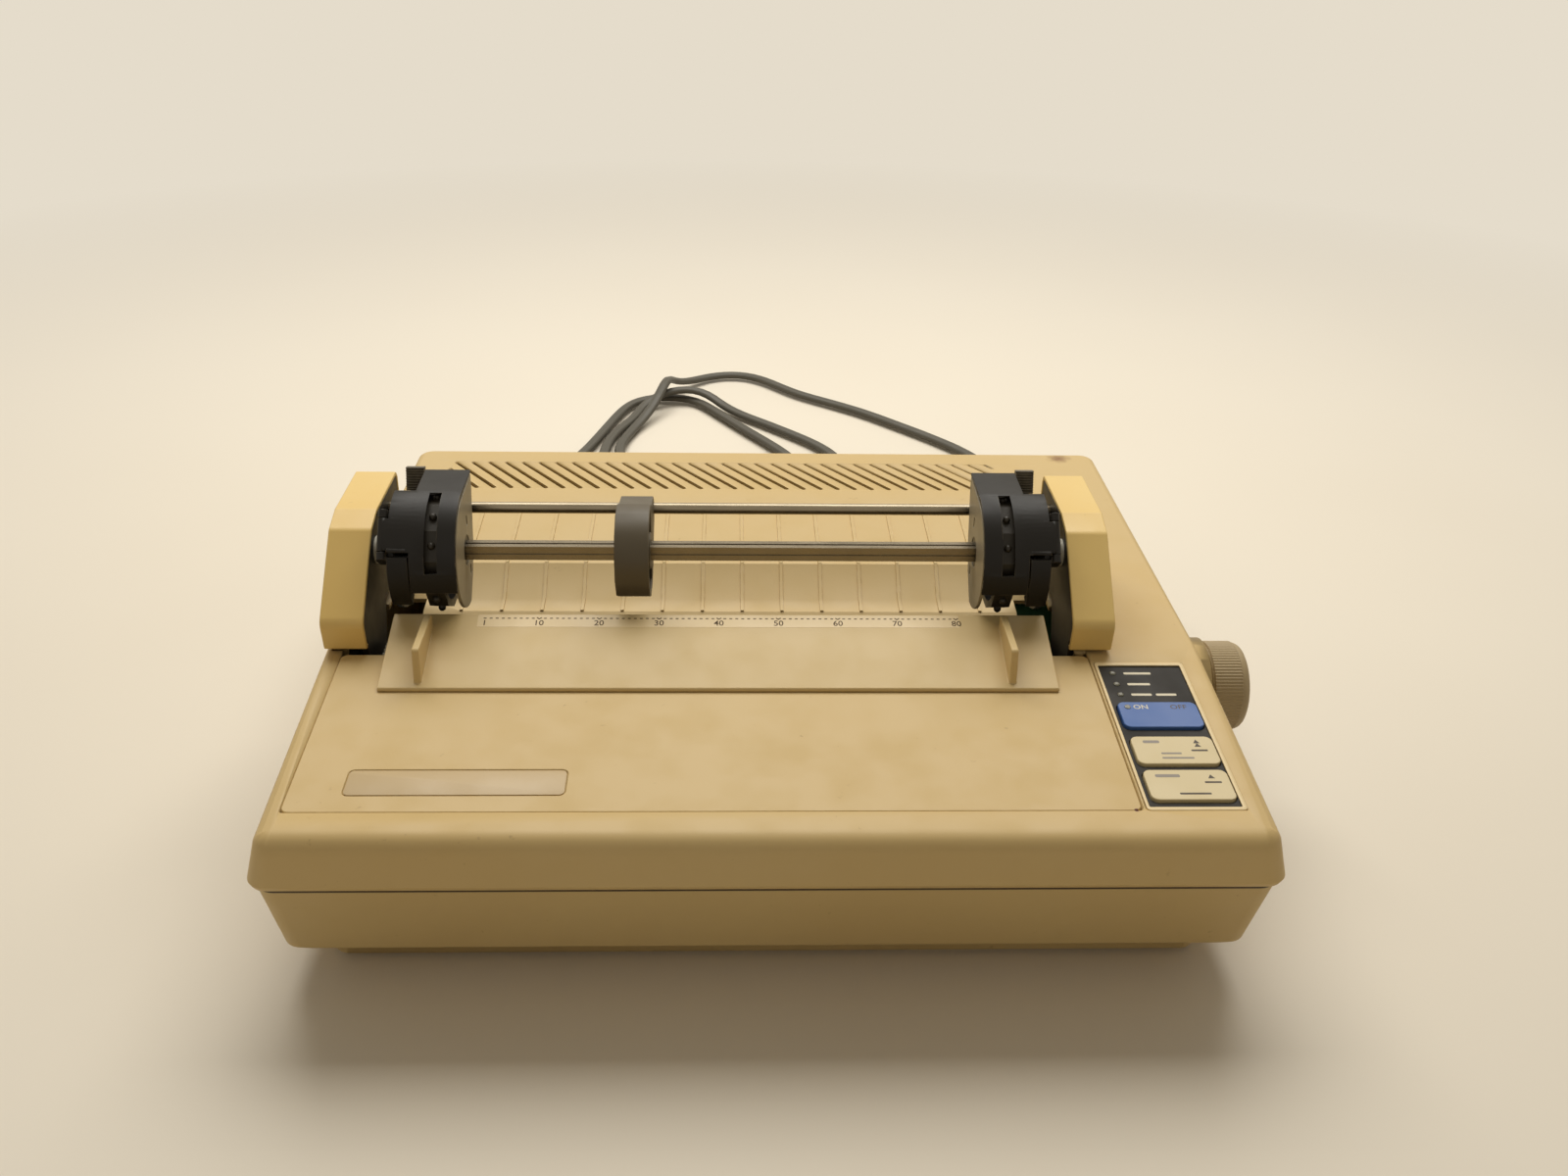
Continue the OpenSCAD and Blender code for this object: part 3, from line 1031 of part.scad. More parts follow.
module sprocket_frame_right() sprocket_unit(1);
module pin_wheel() difference() {
    union() {
        translate([wheel_x - wheel_w / 2, shaft_y, shaft_z]) rotate([0, 90, 0]) rotate(180 / pins)
            cylinder(r = wheel_r / cos(180 / pins), h = wheel_w, $fn = pins);
        bar_x(unit_x0 + 0.2, shaft_y, shaft_z, hub_r, unit_x1 - unit_x0 + 1);
        for (i = [0:pins - 1]) translate([wheel_x, shaft_y, shaft_z]) rotate([i * 360 / pins, 0, 0]) {
            translate([0, 0, wheel_r - 1]) cylinder(r = pin_r, h = 1.6, $fn = 16);
            translate([0, 0, wheel_r + 0.6]) sphere(r = pin_r, $fn = 16);
        }
    }
    for (x = [wheel_x - wheel_w / 2 - 1, wheel_x + 1]) difference() {
        bar_x(x, shaft_y, shaft_z, wheel_r - 3, wheel_w / 2);
        bar_x(x - 1, shaft_y, shaft_z, hub_r + 2, wheel_w);
    }
    along_x(unit_x0 - 5, 60) translate(shaft_at) square(square_w + 0.3, center = true);
}
module pin_wheel_left() color("#3d3b36") tractor_side(-1) pin_wheel();
module pin_wheel_right() color("#3d3b36") tractor_side(1) pin_wheel();
flap_a0 = -14;
flap_top = shaft_z + flap_r;
module flap() difference() {
    union() {
        // inner strip over the wheel, with a flat top that reaches back over the bridge
        along_x(unit_x0 + lever_pad_w + 1.2, unit_x1 + plate_t - unit_x0 - lever_pad_w - 1.2)
            polygon(concat(arc(flap_r + flap_t, flap_a0, 90, 22), [[shaft_y + 22, flap_top + flap_t],
                [shaft_y + 22, flap_top]], arc(flap_r, 90, flap_a0, 22)));
        // outer strip, which ends in a lip for the finger and stops short of the lever
        along_x(unit_x0 + 0.4, lever_pad_w + 1.5) polygon(arc_strip(flap_r, flap_r + flap_t, guard_a + 4, 90, 16));
        along_x(unit_x0 + 0.4, lever_pad_w - 0.4)
            polygon(arc_strip(flap_r + flap_t - 0.1, flap_r + flap_t + 0.8, guard_a + 4, guard_a + 7, 2));
        // arm that reaches over the cheek to the hinge
        along_x(hinge_x, unit_x0 + 4 - hinge_x)
            polygon(arc_strip(flap_r, flap_r + flap_t, flap_lean - 14, flap_lean + 14, 6));
        on_flap_hinge() translate([hinge_x, -hinge_r, -hinge_half]) cylinder(r = knuckle_r, h = 2 * hinge_half);
    }
    on_flap_hinge() translate([hinge_x, -hinge_r, -20]) cylinder(r = hinge_pin_r + run_gap, h = 40);
    // slot for the pins
    along_x(wheel_x - 2.6, 5.2) polygon(arc_strip(flap_r - 4, flap_r + 8, 5, 86, 12));
}
module sprocket_flap_left() color(black) tractor_side(-1) flap();
module sprocket_flap_right() color(black) tractor_side(1) flap();
// Arm and ribbed pad of the lever, as offsets from the guide shaft
pad_foot = [-9.1, 12.3];
pad_tip = [-5.7, 22];
module lock_lever() difference() {
    union() {
        bar_x(lever_x, guide_y_at, guide_z_at, lever_r, lever_w);
        along_x(lever_x, lever_w) translate([guide_y_at, guide_z_at])
            polygon([[-8, 2.5], pad_foot, pad_tip, pad_tip + [2.8, -0.8], [-3.5, 11], [1, 8.4]]);
        along_x(unit_x0 + 0.4, lever_pad_w) translate([guide_y_at, guide_z_at]) {
            polygon([pad_foot, pad_tip, pad_tip + [2.8, -0.8], pad_foot + [2.8, -0.4]]);
            for (i = [0:8]) translate(pad_foot + (pad_tip - pad_foot) * (i + 0.3) / 9)
                rotate(-19) translate([-0.7, 0]) square([1.2, 0.6]);
        }
    }
    bar_x(lever_x - 1, guide_y_at, guide_z_at, tube_r + run_gap, lever_w + 2);
}
module lock_lever_left() color(grey) tractor_side(-1) lock_lever();
module lock_lever_right() color(grey) tractor_side(1) lock_lever();

centre_x = -64.8;
module centre_guide() color("#5c5b55") difference() {
    union() {
        translate([centre_x, shaft_y, shaft_z]) rotate([0, 90, 0]) rotate(15) cylinder(r = 20.5, h = centre_w, $fn = 12);
        along_x(centre_x, centre_w) polygon([[shaft_y, shaft_z + 19], [guide_y_at, guide_z_at + 6],
            [guide_y_at + 5, guide_z_at], [guide_y_at + 3, guide_z_at - 6], [shaft_y + 10, shaft_z - 12]]);
    }
    bar_x(centre_x - 5, shaft_y, shaft_z, square_w * 0.71 + 0.3, 40);
    bar_x(centre_x - 5, guide_y_at, guide_z_at, guide_shaft_d / 2 + run_gap, 40);
    for (x = [centre_x - 1, centre_x + centre_w / 2 + 0.8]) difference() {
        bar_x(x, shaft_y, shaft_z, 17.5, centre_w / 2 + 0.2);
        bar_x(x - 1, shaft_y, shaft_z, 8, centre_w);
        block(x - 1, x + centre_w, shaft_y + 5.5, 60, shaft_z - 30, shaft_z + 40);
    }
}

placed() lower_case();
placed() upper_case();
placed() rubber_feet();
placed() screws();
placed() front_cover();
placed() hood_lid();
placed() control_panel();
placed() key_board();
placed() online_key();
placed() form_feed_key();
placed() line_feed_key();
placed() panel_lamps();
placed() paper_guide();
placed() chassis_base();
placed() chassis_left();
placed() chassis_right();
placed() shaft_bushes();
placed() platen_shaft();
placed() platen_roller();
placed() platen_knob();
placed() platen_gear();
placed() reduction_gear();
placed() feed_motor();
placed() motor_pinion();
placed() pressure_rollers();
placed() carriage_rod();
placed() carriage();
placed() print_head();
placed() ribbon_cartridge();
placed() ribbon_knob();
placed() carriage_motor();
placed() drive_pulley();
placed() idler_pulley();
placed() timing_belt();
placed() main_board();
placed() interface_connector();
placed() transformer();
placed() power_switch();
placed() power_rocker();
placed() cord_gland();
placed() power_cord();
placed() power_plug();
placed() tractor_frame_left();
placed() tractor_frame_right();
placed() end_cover_left();
placed() end_cover_right();
placed() guide_shaft();
placed() drive_shaft();
placed() idler_gear_lower();
placed() idler_gear_middle();
placed() idler_gear_upper();
placed() sprocket_frame_left();
placed() sprocket_frame_right();
placed() pin_wheel_left();
placed() pin_wheel_right();
placed() sprocket_flap_left();
placed() sprocket_flap_right();
placed() lock_lever_left();
placed() lock_lever_right();
placed() centre_guide();
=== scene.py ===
import json
from math import cos, pi, radians, sin

import bpy
from mathutils import Matrix, Vector

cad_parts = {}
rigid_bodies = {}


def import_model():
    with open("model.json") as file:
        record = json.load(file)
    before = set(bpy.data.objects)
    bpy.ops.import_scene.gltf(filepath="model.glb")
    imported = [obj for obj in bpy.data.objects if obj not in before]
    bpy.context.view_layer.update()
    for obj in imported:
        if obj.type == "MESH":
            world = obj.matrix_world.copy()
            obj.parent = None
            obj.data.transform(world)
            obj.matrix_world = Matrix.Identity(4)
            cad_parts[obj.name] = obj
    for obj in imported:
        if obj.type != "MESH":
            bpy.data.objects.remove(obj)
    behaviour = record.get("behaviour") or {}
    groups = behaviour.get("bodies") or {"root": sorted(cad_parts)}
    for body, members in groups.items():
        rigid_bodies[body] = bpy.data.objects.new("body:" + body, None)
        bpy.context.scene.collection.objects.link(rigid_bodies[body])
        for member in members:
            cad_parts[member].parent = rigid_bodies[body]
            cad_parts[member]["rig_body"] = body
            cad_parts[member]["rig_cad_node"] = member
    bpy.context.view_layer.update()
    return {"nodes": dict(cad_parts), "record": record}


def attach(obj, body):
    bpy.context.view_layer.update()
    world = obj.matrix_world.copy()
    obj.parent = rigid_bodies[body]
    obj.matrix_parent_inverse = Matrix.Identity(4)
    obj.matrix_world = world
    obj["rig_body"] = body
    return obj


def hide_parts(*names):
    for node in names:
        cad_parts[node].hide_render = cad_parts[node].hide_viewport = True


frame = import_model()
NODES = frame["nodes"]
MM = 0.001
INK = 0.04  # thickness of a printed mark, and how much bolder its characters are drawn, in mm
WELD = 0.000001  # points of a printed character closer than this are one, in metres
CASE_X = -10.1  # middle of the case, in mm: the knob makes the printer longer on its right
BODY_OF = {node: body for body, members in frame["record"]["behaviour"]["bodies"].items() for node in members}
SLOT_OF = {row["node"]: row["material_slot"] for row in frame["record"]["subparts"]}


def at(x, y, z):
    """A point given in mm from the middle of the case."""
    return Vector(((x + CASE_X) * MM, y * MM, z * MM))


# ---------- Handling objects ----------
def deselect():
    active = bpy.context.view_layer.objects.active
    if active is not None and active.mode != "OBJECT":
        bpy.ops.object.mode_set(mode="OBJECT")
    bpy.ops.object.select_all(action="DESELECT")


def pick(*objects):
    deselect()
    for one in objects:
        one.select_set(True)
    bpy.context.view_layer.objects.active = objects[0]


def edit(action, kind="VERT"):
    bpy.ops.object.mode_set(mode="EDIT")
    bpy.ops.mesh.select_mode(type=kind)
    bpy.ops.mesh.select_all(action=action)


def place():
    """Puts the active object's place, turn and size into its mesh."""
    bpy.ops.object.transform_apply(location=True, rotation=True, scale=True)


def apply_modifier(kind, **settings):
    piece = bpy.context.object
    bpy.ops.object.modifier_add(type=kind)
    modifier = piece.modifiers[-1]
    for key, value in settings.items():
        setattr(modifier, key, value)
    bpy.ops.object.modifier_apply(modifier=modifier.name)


def finish_piece(piece, name, node, finish=None, replaced=(), smooth=40):
    """Names a piece that rides with a node, and gives it its own finish, or else the material of the node's
    slot.
    """
    pick(piece)
    if piece.type != "MESH":
        bpy.ops.object.convert(target="MESH")
    place()
    if smooth:
        bpy.ops.object.shade_smooth_by_angle(angle=radians(smooth))
    piece.name = name
    piece.data.materials.clear()
    piece.data.materials.append(MATERIALS[finish or SLOT_OF[node]])
    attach(piece, BODY_OF[node])
    if replaced:
        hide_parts(*replaced)
    return piece


def outline(x0, x1, y0, y1, radius=0.0, steps=4):
    """A flat oblong with rounded corners, given in mm and drawn at the height of the table."""
    deselect()
    bpy.ops.mesh.primitive_plane_add(size=MM, location=((x0 + x1) / 2 * MM, (y0 + y1) / 2 * MM, 0))
    piece = bpy.context.object
    piece.scale = (x1 - x0, y1 - y0, 1)
    place()
    if radius:
        edit("SELECT")
        bpy.ops.mesh.bevel(affect="VERTICES", offset=radius * MM, segments=steps)
        bpy.ops.object.mode_set(mode="OBJECT")
    return piece


def thicken(piece, thickness, round_edge=0.0):
    """Gives a flat outline its thickness, upwards, and rounds its edges; both in mm."""
    pick(piece)
    apply_modifier("SOLIDIFY", thickness=thickness * MM, offset=1)
    if round_edge:
        apply_modifier("BEVEL", width=round_edge * MM, segments=2, limit_method="ANGLE",
                       angle_limit=radians(50))
    return piece


def lay_on(piece, surface, height=0.0):
    """Lays a flat drawing on a leaning surface, given by the y and z of its line 0 and its lean."""
    y, z, lean = surface
    piece.location = at(0, y - height * sin(lean), z + height * cos(lean))
    piece.rotation_euler = (lean, 0, 0)
    return piece


def repeat(piece, places):
    """Copies of a flat mark at each x and y in mm; the pattern itself goes."""
    copies = []
    for x, y in places:
        pick(piece)
        bpy.ops.object.duplicate(linked=False)
        bpy.context.object.location = (x * MM, y * MM, 0)
        copies.append(bpy.context.object)
    pick(piece)
    bpy.ops.object.delete()
    return copies


def stroke(length, width, turn=0.0):
    """A short printed line."""
    mark = thicken(outline(-length / 2, length / 2, -width / 2, width / 2, 0.3 * width, 2), INK)
    mark.rotation_euler = (0, 0, radians(turn))
    place()
    return mark


def characters(text, x, y, size):
    """Printed characters, centred on x and y in mm."""
    deselect()
    bpy.ops.object.text_add(location=(x * MM, y * MM, 0))
    mark = bpy.context.object
    mark.data.body = text
    mark.data.size = size * MM
    mark.data.align_x = "CENTER"
    mark.data.align_y = "CENTER"
    mark.data.resolution_u = 3
    mark.data.offset = INK * MM
    mark.data.extrude = INK / 2 * MM
    bpy.ops.object.convert(target="MESH")
    place()
    edit("SELECT")
    bpy.ops.mesh.remove_doubles(threshold=WELD)
    bpy.ops.object.mode_set(mode="OBJECT")
    return mark


def printed(marks, name, node, finish, surface, height):
    """Joins printed marks into one piece and lays it on a node's surface, height mm above it."""
    pick(*marks)
    place()
    bpy.ops.object.join()
    piece = lay_on(bpy.context.object, surface, height)
    return finish_piece(piece, name, node, finish, smooth=None)


# ---------- Camera ----------
CAMERA_AT = (-0.0266, -0.5808, 0.405)
PAN, TILT, ROLL = (radians(angle) for angle in (-2.47, -28.24, -1.35))  # from a level look along y


def make_camera():
    bpy.ops.object.camera_add(location=CAMERA_AT)
    camera = bpy.context.object
    turn = Matrix.Rotation(PAN, 3, "Z") @ Matrix.Rotation(TILT, 3, "X") @ Matrix.Rotation(ROLL, 3, "Y")
    camera.rotation_euler = (turn @ Matrix.Rotation(pi / 2, 3, "X")).to_euler()
    camera.data.sensor_width = 36
    camera.data.lens = 33.37
    camera.data.clip_start = 0.01
    camera.data.clip_end = 30
    bpy.context.scene.camera = camera


make_camera()


# ---------- Materials ----------
def colour(red, green, blue):
    """A colour given as 0 to 255, as the shader wants it."""
    parts = [value / 255 for value in (red, green, blue)]
    return [p / 12.92 if p <= 0.04045 else ((p + 0.055) / 1.055) ** 2.4 for p in parts] + [1]


class Finish:
    """A node material that is built up layer by layer on object coordinates."""

    def __init__(self, name, base, rough=0.5, metallic=0.0, **sockets):
        self.material = bpy.data.materials.new(name)
        self.material.use_nodes = True
        self.tree = self.material.node_tree
        self.shader = self.tree.nodes["Principled BSDF"]
        self.base = base
        self.rough = rough
        self.shader.inputs["Base Color"].default_value = base
        self.shader.inputs["Roughness"].default_value = rough
        self.shader.inputs["Metallic"].default_value = metallic
        for key, value in sockets.items():
            self.shader.inputs[key.replace("_", " ")].default_value = value
        self.place = self.add("ShaderNodeTexCoord").outputs["Object"]
        self.colour_out = None
        self.rough_out = None
        self.normal_out = None

    def add(self, kind, **settings):
        node = self.tree.nodes.new(kind)
        for key, value in settings.items():
            setattr(node, key, value)
        return node

    def link(self, source, target):
        self.tree.links.new(source, target)

    def noise(self, size, detail=2.0, stretch=None, roughness=0.5):
        """Noise whose blotches are about size metres wide, longer along stretch's axes."""
        node = self.add("ShaderNodeTexNoise")
        node.inputs["Scale"].default_value = 1 / size
        node.inputs["Detail"].default_value = detail
        node.inputs["Roughness"].default_value = roughness
        if stretch:
            mapping = self.add("ShaderNodeMapping")
            mapping.inputs["Scale"].default_value = [1 / s for s in stretch]
            self.link(self.place, mapping.inputs["Vector"])
            self.link(mapping.outputs["Vector"], node.inputs["Vector"])
        else:
            self.link(self.place, node.inputs["Vector"])
        return node.outputs["Fac"]

    def spread(self, source, low, high, to_low=0.0, to_high=1.0):
        """Stretches the part of source between low and high to between to_low and to_high."""
        node = self.add("ShaderNodeMapRange")
        node.inputs["From Min"].default_value = low
        node.inputs["From Max"].default_value = high
        node.inputs["To Min"].default_value = to_low
        node.inputs["To Max"].default_value = to_high
        self.link(source, node.inputs["Value"])
        return node.outputs["Result"]

    def math(self, action, first, second):
        node = self.add("ShaderNodeMath", operation=action)
        for socket, value in zip(node.inputs, (first, second)):
            if isinstance(value, (int, float)):
                socket.default_value = value
            else:
                self.link(value, socket)
        return node.outputs["Value"]

    def tint(self, mask, shade):
        """Mixes shade into the colour where mask is 1."""
        node = self.add("ShaderNodeMix", data_type="RGBA")
        self.link(mask, node.inputs["Factor"])
        if self.colour_out is None:
            node.inputs[6].default_value = self.base
        else:
            self.link(self.colour_out, node.inputs[6])
        node.inputs[7].default_value = shade
        self.colour_out = node.outputs[2]
        self.link(self.colour_out, self.shader.inputs["Base Color"])
        return self

    def gloss(self, mask, amount):
        """Adds amount to the roughness where mask is 1."""
        start = self.rough if self.rough_out is None else self.rough_out
        self.rough_out = self.math("ADD", self.math("MULTIPLY", mask, amount), start)
        self.link(self.rough_out, self.shader.inputs["Roughness"])
        return self

    def relief(self, source, depth):
        """Raises the surface by depth metres where source is 1."""
        node = self.add("ShaderNodeBump")
        node.inputs["Distance"].default_value = depth
        node.inputs["Strength"].default_value = 1
        self.link(source, node.inputs["Height"])
        if self.normal_out is not None:
            self.link(self.normal_out, node.inputs["Normal"])
        self.normal_out = node.outputs["Normal"]
        self.link(self.normal_out, self.shader.inputs["Normal"])
        return self

    def height(self, low, high):
        """A mask that is 0 below low and 1 above high, both in metres."""
        apart = self.add("ShaderNodeSeparateXYZ")
        self.link(self.place, apart.inputs[0])
        return self.spread(apart.outputs["Z"], low, high)

    def near(self, point, inner, outer, ragged=0.0):
        """A mask that is 1 within inner metres of a point and 0 beyond outer, with a ragged rim."""
        node = self.add("ShaderNodeVectorMath", operation="DISTANCE")
        self.link(self.place, node.inputs[0])
        node.inputs[1].default_value = point
        reach = node.outputs["Value"]
        if ragged:
            reach = self.math("ADD", reach, self.math("MULTIPLY", self.noise(outer * 0.3, 4.0), ragged))
        return self.spread(reach, inner, outer, 1, 0)

    def edges(self, width):
        """A mask that is 1 on edges, about width metres wide, where a rounded normal leans from the plain."""
        bevel = self.add("ShaderNodeBevel", samples=4)
        bevel.inputs["Radius"].default_value = width
        plain = self.add("ShaderNodeNewGeometry")
        dot = self.add("ShaderNodeVectorMath", operation="DOT_PRODUCT")
        self.link(bevel.outputs["Normal"], dot.inputs[0])
        self.link(plain.outputs["Normal"], dot.inputs[1])
        return self.spread(dot.outputs["Value"], 0.995, 0.86)


# How wide each kind of mark is, in metres
DRIFT = 0.11  # slow change of colour in old plastic
SMUDGE = 0.018  # handled patch, a little duller
FLECK = 0.0045  # spot of grime
GRIMY_AREA = 0.05  # area that has such spots
# edges tinted lighter, both as rubbed wear and as a painted highlight along them
RUBBED_AND_HIGHLIGHT_EDGE = 0.0007
RUB_AND_HIGHLIGHT_BREAK = 0.006  # stretch of an edge that is lightened, as wear and painted highlight, or spared
DRAWN_LINE = 0.0004  # line left by drawing or rolling the metal
DULL_PATCH = 0.02
LINE_DEPTH = 0.000006


def moulded(name, base, rough=0.52, grain=0.0007, depth=0.00002, aged=None, grime=None, wear_and_highlight=None, shine=0.5):
    """Moulded plastic: spark-eroded grain, slow drift of colour, smudges, grime, and edges tinted lighter as
    wear and as a painted highlight.
    """
    made = Finish(name, base, rough, Specular_IOR_Level=shine)
    made.relief(made.noise(grain, 3.0), depth)
    if aged:
        made.tint(made.spread(made.noise(DRIFT), 0.35, 0.7, 0, 0.75), aged)
    made.gloss(made.spread(made.noise(SMUDGE, 4.0), 0.4, 0.7), 0.12)
    if grime:
        spots = made.spread(made.noise(FLECK, roughness=0.7), 0.7, 0.8, 0, 0.5)
        broad = made.spread(made.noise(GRIMY_AREA), 0.45, 0.65)
        made.tint(made.math("MULTIPLY", spots, broad), grime)
    # painted highlight: edges are tinted lighter, partly rubbed wear and partly the light that catches them,
    # broken up along their length
    if wear_and_highlight:
        breaks = made.spread(made.noise(RUB_AND_HIGHLIGHT_BREAK, 3.0), 0.42, 0.62)
        made.tint(made.math("MULTIPLY", made.edges(RUBBED_AND_HIGHLIGHT_EDGE), breaks), wear_and_highlight)
    return made


def metal(name, base, rough, along=(1, 1, 1)):
    """Bare metal with drawn or rolled lines along one axis, and dull patches."""
    made = Finish(name, base, rough, metallic=1.0)
    lines = made.noise(DRAWN_LINE, stretch=along)
    made.gloss(made.spread(lines, 0.3, 0.7), 0.14)
    made.relief(lines, LINE_DEPTH)
    darker = [part * 0.7 for part in base[:3]] + [1]
    made.tint(made.spread(made.noise(DULL_PATCH, 3.0), 0.45, 0.75, 0, 0.5), darker)
    return made


FINISHES = {
    "case_upper": moulded("case_beige", colour(199, 172, 117), 0.5, aged=colour(197, 168, 110),
                          grime=colour(116, 88, 54), wear_and_highlight=colour(216, 194, 148)),
    "case_lower": moulded("tray_beige", colour(194, 169, 116), 0.55, aged=colour(188, 161, 107),
                          grime=colour(110, 86, 56)),
    "hood_plastic": moulded("hood_beige", colour(204, 178, 124), 0.46, grain=0.0009,
                            aged=colour(201, 173, 115), wear_and_highlight=colour(222, 202, 158)),
    "cover_cream": moulded("yellowed_cream", colour(226, 195, 122), 0.42, aged=colour(218, 180, 98),
                           grime=colour(140, 106, 60), wear_and_highlight=colour(236, 212, 150)),
    "knob_plastic": moulded("knob_beige", colour(170, 150, 112), 0.5, aged=colour(150, 130, 94)),
    "black_plastic": moulded("black_acetal", colour(20, 17, 13), 0.42, grain=0.0005, wear_and_highlight=colour(78, 70, 56),
                             grime=colour(70, 62, 48), shine=0.22),
    "wheel_plastic": moulded("dark_acetal", colour(38, 33, 24), 0.38, wear_and_highlight=colour(96, 88, 72), shine=0.28),
    "grey_plastic": moulded("olive_grey", colour(84, 75, 58), 0.45, wear_and_highlight=colour(122, 112, 92), shine=0.35),
    "panel_black": moulded("overlay_black", colour(27, 23, 17), 0.5, depth=0.000006, shine=0.22),
    "key_blue": moulded("key_blue", colour(60, 96, 158), 0.45, wear_and_highlight=colour(100, 130, 180)),
    "key_cream": moulded("key_cream", colour(206, 188, 144), 0.45, wear_and_highlight=colour(224, 210, 174)),
    "lamp_lens": moulded("lamp_lens", colour(96, 92, 74), 0.22, depth=0.000004),
    "nylon": moulded("natural_acetal", colour(226, 222, 206), 0.4),
    "motor_black": moulded("motor_enamel", colour(44, 44, 46), 0.35, wear_and_highlight=colour(120, 118, 112)),
    "circuit_board": moulded("green_board", colour(52, 92, 58), 0.35, grain=0.0012),
    "rubber": moulded("black_rubber", colour(38, 37, 35), 0.8),
    "platen_rubber": moulded("platen_rubber", colour(40, 39, 38), 0.62, grain=0.0004),
    "belt_rubber": moulded("belt_rubber", colour(36, 35, 33), 0.7),
    "cord_rubber": moulded("cord_vinyl", colour(72, 68, 57), 0.48, grain=0.0012, wear_and_highlight=colour(96, 92, 80)),
    "bright_steel": metal("ground_steel", colour(134, 124, 106), 0.22, along=(40, 1, 1)),
    "plated_steel": metal("zinc_plate", colour(190, 186, 172), 0.36),
    "sheet_steel": metal("zinc_sheet", colour(176, 172, 160), 0.4, along=(1, 12, 12)),
    "brass": metal("brass", colour(206, 170, 98), 0.32),
    "head_alloy": metal("dark_alloy", colour(86, 86, 84), 0.45),
    "connector_metal": metal("nickel_shell", colour(198, 194, 184), 0.3),
    "core_steel": metal("varnished_core", colour(92, 84, 72), 0.5, along=(1, 1, 0.2)),
    # finishes of the added pieces
    "strip_pale": moulded("strip_pale", colour(218, 193, 143), 0.36, depth=0.000004,
                          aged=colour(213, 186, 133)),
    "rim_cream": moulded("rim_cream", colour(218, 194, 143), 0.42, wear_and_highlight=colour(232, 212, 168)),
    "plate_satin": moulded("plate_satin", colour(190, 165, 120), 0.38, grain=0.0003,
                           aged=colour(184, 158, 112)),
    "plate_grey": moulded("grey_acetal", colour(134, 124, 102), 0.4, wear_and_highlight=colour(160, 150, 128)),
    "ink_brown": moulded("ink_brown", colour(76, 56, 30), 0.6, shine=0.3),
    "ink_pale": moulded("ink_pale", colour(214, 204, 178), 0.55),
    "ink_grey": moulded("ink_grey", colour(140, 132, 122), 0.55),
    "ink_dark": moulded("ink_dark", colour(60, 48, 34), 0.55),
}
SEAM_SHADE_AND_DIRT = (0.0567, 0.0572)  # heights between which the painted shade of the seam under the upper shell, with the dirt packed there, sets in on the lower shell
RESIDUE = at(166.5, 160.0, 89)  # dried residue at the rear of the deck
RUST = at(134.3, -151.5, 81.6)  # rust mark beside the corner of the front cover
tray, deck = FINISHES["case_lower"], FINISHES["case_upper"]
# painted shade: the top of the lower shell, under the upper shell's edge, is darkened for the seam's shadow
# and the dirt in it
tray.tint(tray.height(*SEAM_SHADE_AND_DIRT), colour(62, 47, 27))
deck.tint(deck.near(RESIDUE, inner=0.003, outer=0.01, ragged=0.006), colour(124, 84, 40))
deck.tint(deck.near(RUST, inner=0.0007, outer=0.0011), colour(96, 48, 24))
MATERIALS = {slot: made.material for slot, made in FINISHES.items()}
for node, slot in SLOT_OF.items():
    NODES[node].data.materials.clear()
    NODES[node].data.materials.append(MATERIALS[slot])


# ---------- Rounded copies of the moulded parts ----------
ROUNDED = {  # node: width of the rounding on its edges in mm, 0 where the solid's own roundings are enough
    "upper_case": 0, "lower_case": 0, "front_cover": 0.4, "hood_lid": 0.45, "paper_guide": 0.12,
    "end_cover_left": 0.6, "end_cover_right": 0.6, "control_panel": 0.2, "online_key": 0.5,
    "form_feed_key": 0.5, "line_feed_key": 0.5, "platen_knob": 0.25, "tractor_frame_left": 0.3,
    "tractor_frame_right": 0.3, "sprocket_frame_left": 0.3, "sprocket_frame_right": 0.3,
    "sprocket_flap_left": 0, "sprocket_flap_right": 0, "lock_lever_left": 0.2, "lock_lever_right": 0.2,
    "centre_guide": 0.4, "power_plug": 0.5, "power_rocker": 0.4, "ribbon_cartridge": 0.4, "carriage": 0.3,
    "interface_connector": 0.25,
}
FINE_FACED = (  # their flat faces have rings, slots or long notches, so their small faces stay apart
    "upper_case", "lower_case", "platen_knob", "sprocket_flap_left", "sprocket_flap_right",
    "ribbon_cartridge", "interface_connector",
)
SAME_POINT = 0.00004  # points of a solid closer than this are one, in metres
SAME_FACE = radians(0.3)  # faces that lean less than this from each other are one
SHARP_EDGE = radians(32)
SMOOTH_BELOW = radians(50)


def rounded_copy(node, width):
    """A copy of a node's solid, with its sharp edges rounded as a mould leaves them."""
    pick(NODES[node])
    bpy.ops.object.duplicate(linked=False)
    piece = bpy.context.object
    bpy.ops.object.parent_clear(type="CLEAR_KEEP_TRANSFORM")
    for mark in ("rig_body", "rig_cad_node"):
        del piece[mark]
    edit("SELECT")
    bpy.ops.mesh.remove_doubles(threshold=SAME_POINT)
    if node not in FINE_FACED:
        bpy.ops.mesh.dissolve_limited(angle_limit=SAME_FACE)
    edit("DESELECT", "EDGE")
    bpy.ops.mesh.edges_select_sharp(sharpness=SHARP_EDGE)
    bpy.ops.transform.edge_bevelweight(value=1)
    bpy.ops.object.mode_set(mode="OBJECT")
    if width:
        apply_modifier("BEVEL", width=width * MM, segments=2, limit_method="WEIGHT",
                       use_clamp_overlap=False, miter_outer="MITER_ARC")
    bpy.ops.object.shade_smooth_by_angle(angle=SMOOTH_BELOW)
    apply_modifier("WEIGHTED_NORMAL", keep_sharp=True, weight=80)
    finish_piece(piece, node + "_moulded", node, replaced=[node], smooth=None)


for node, width in ROUNDED.items():
    rounded_copy(node, width)


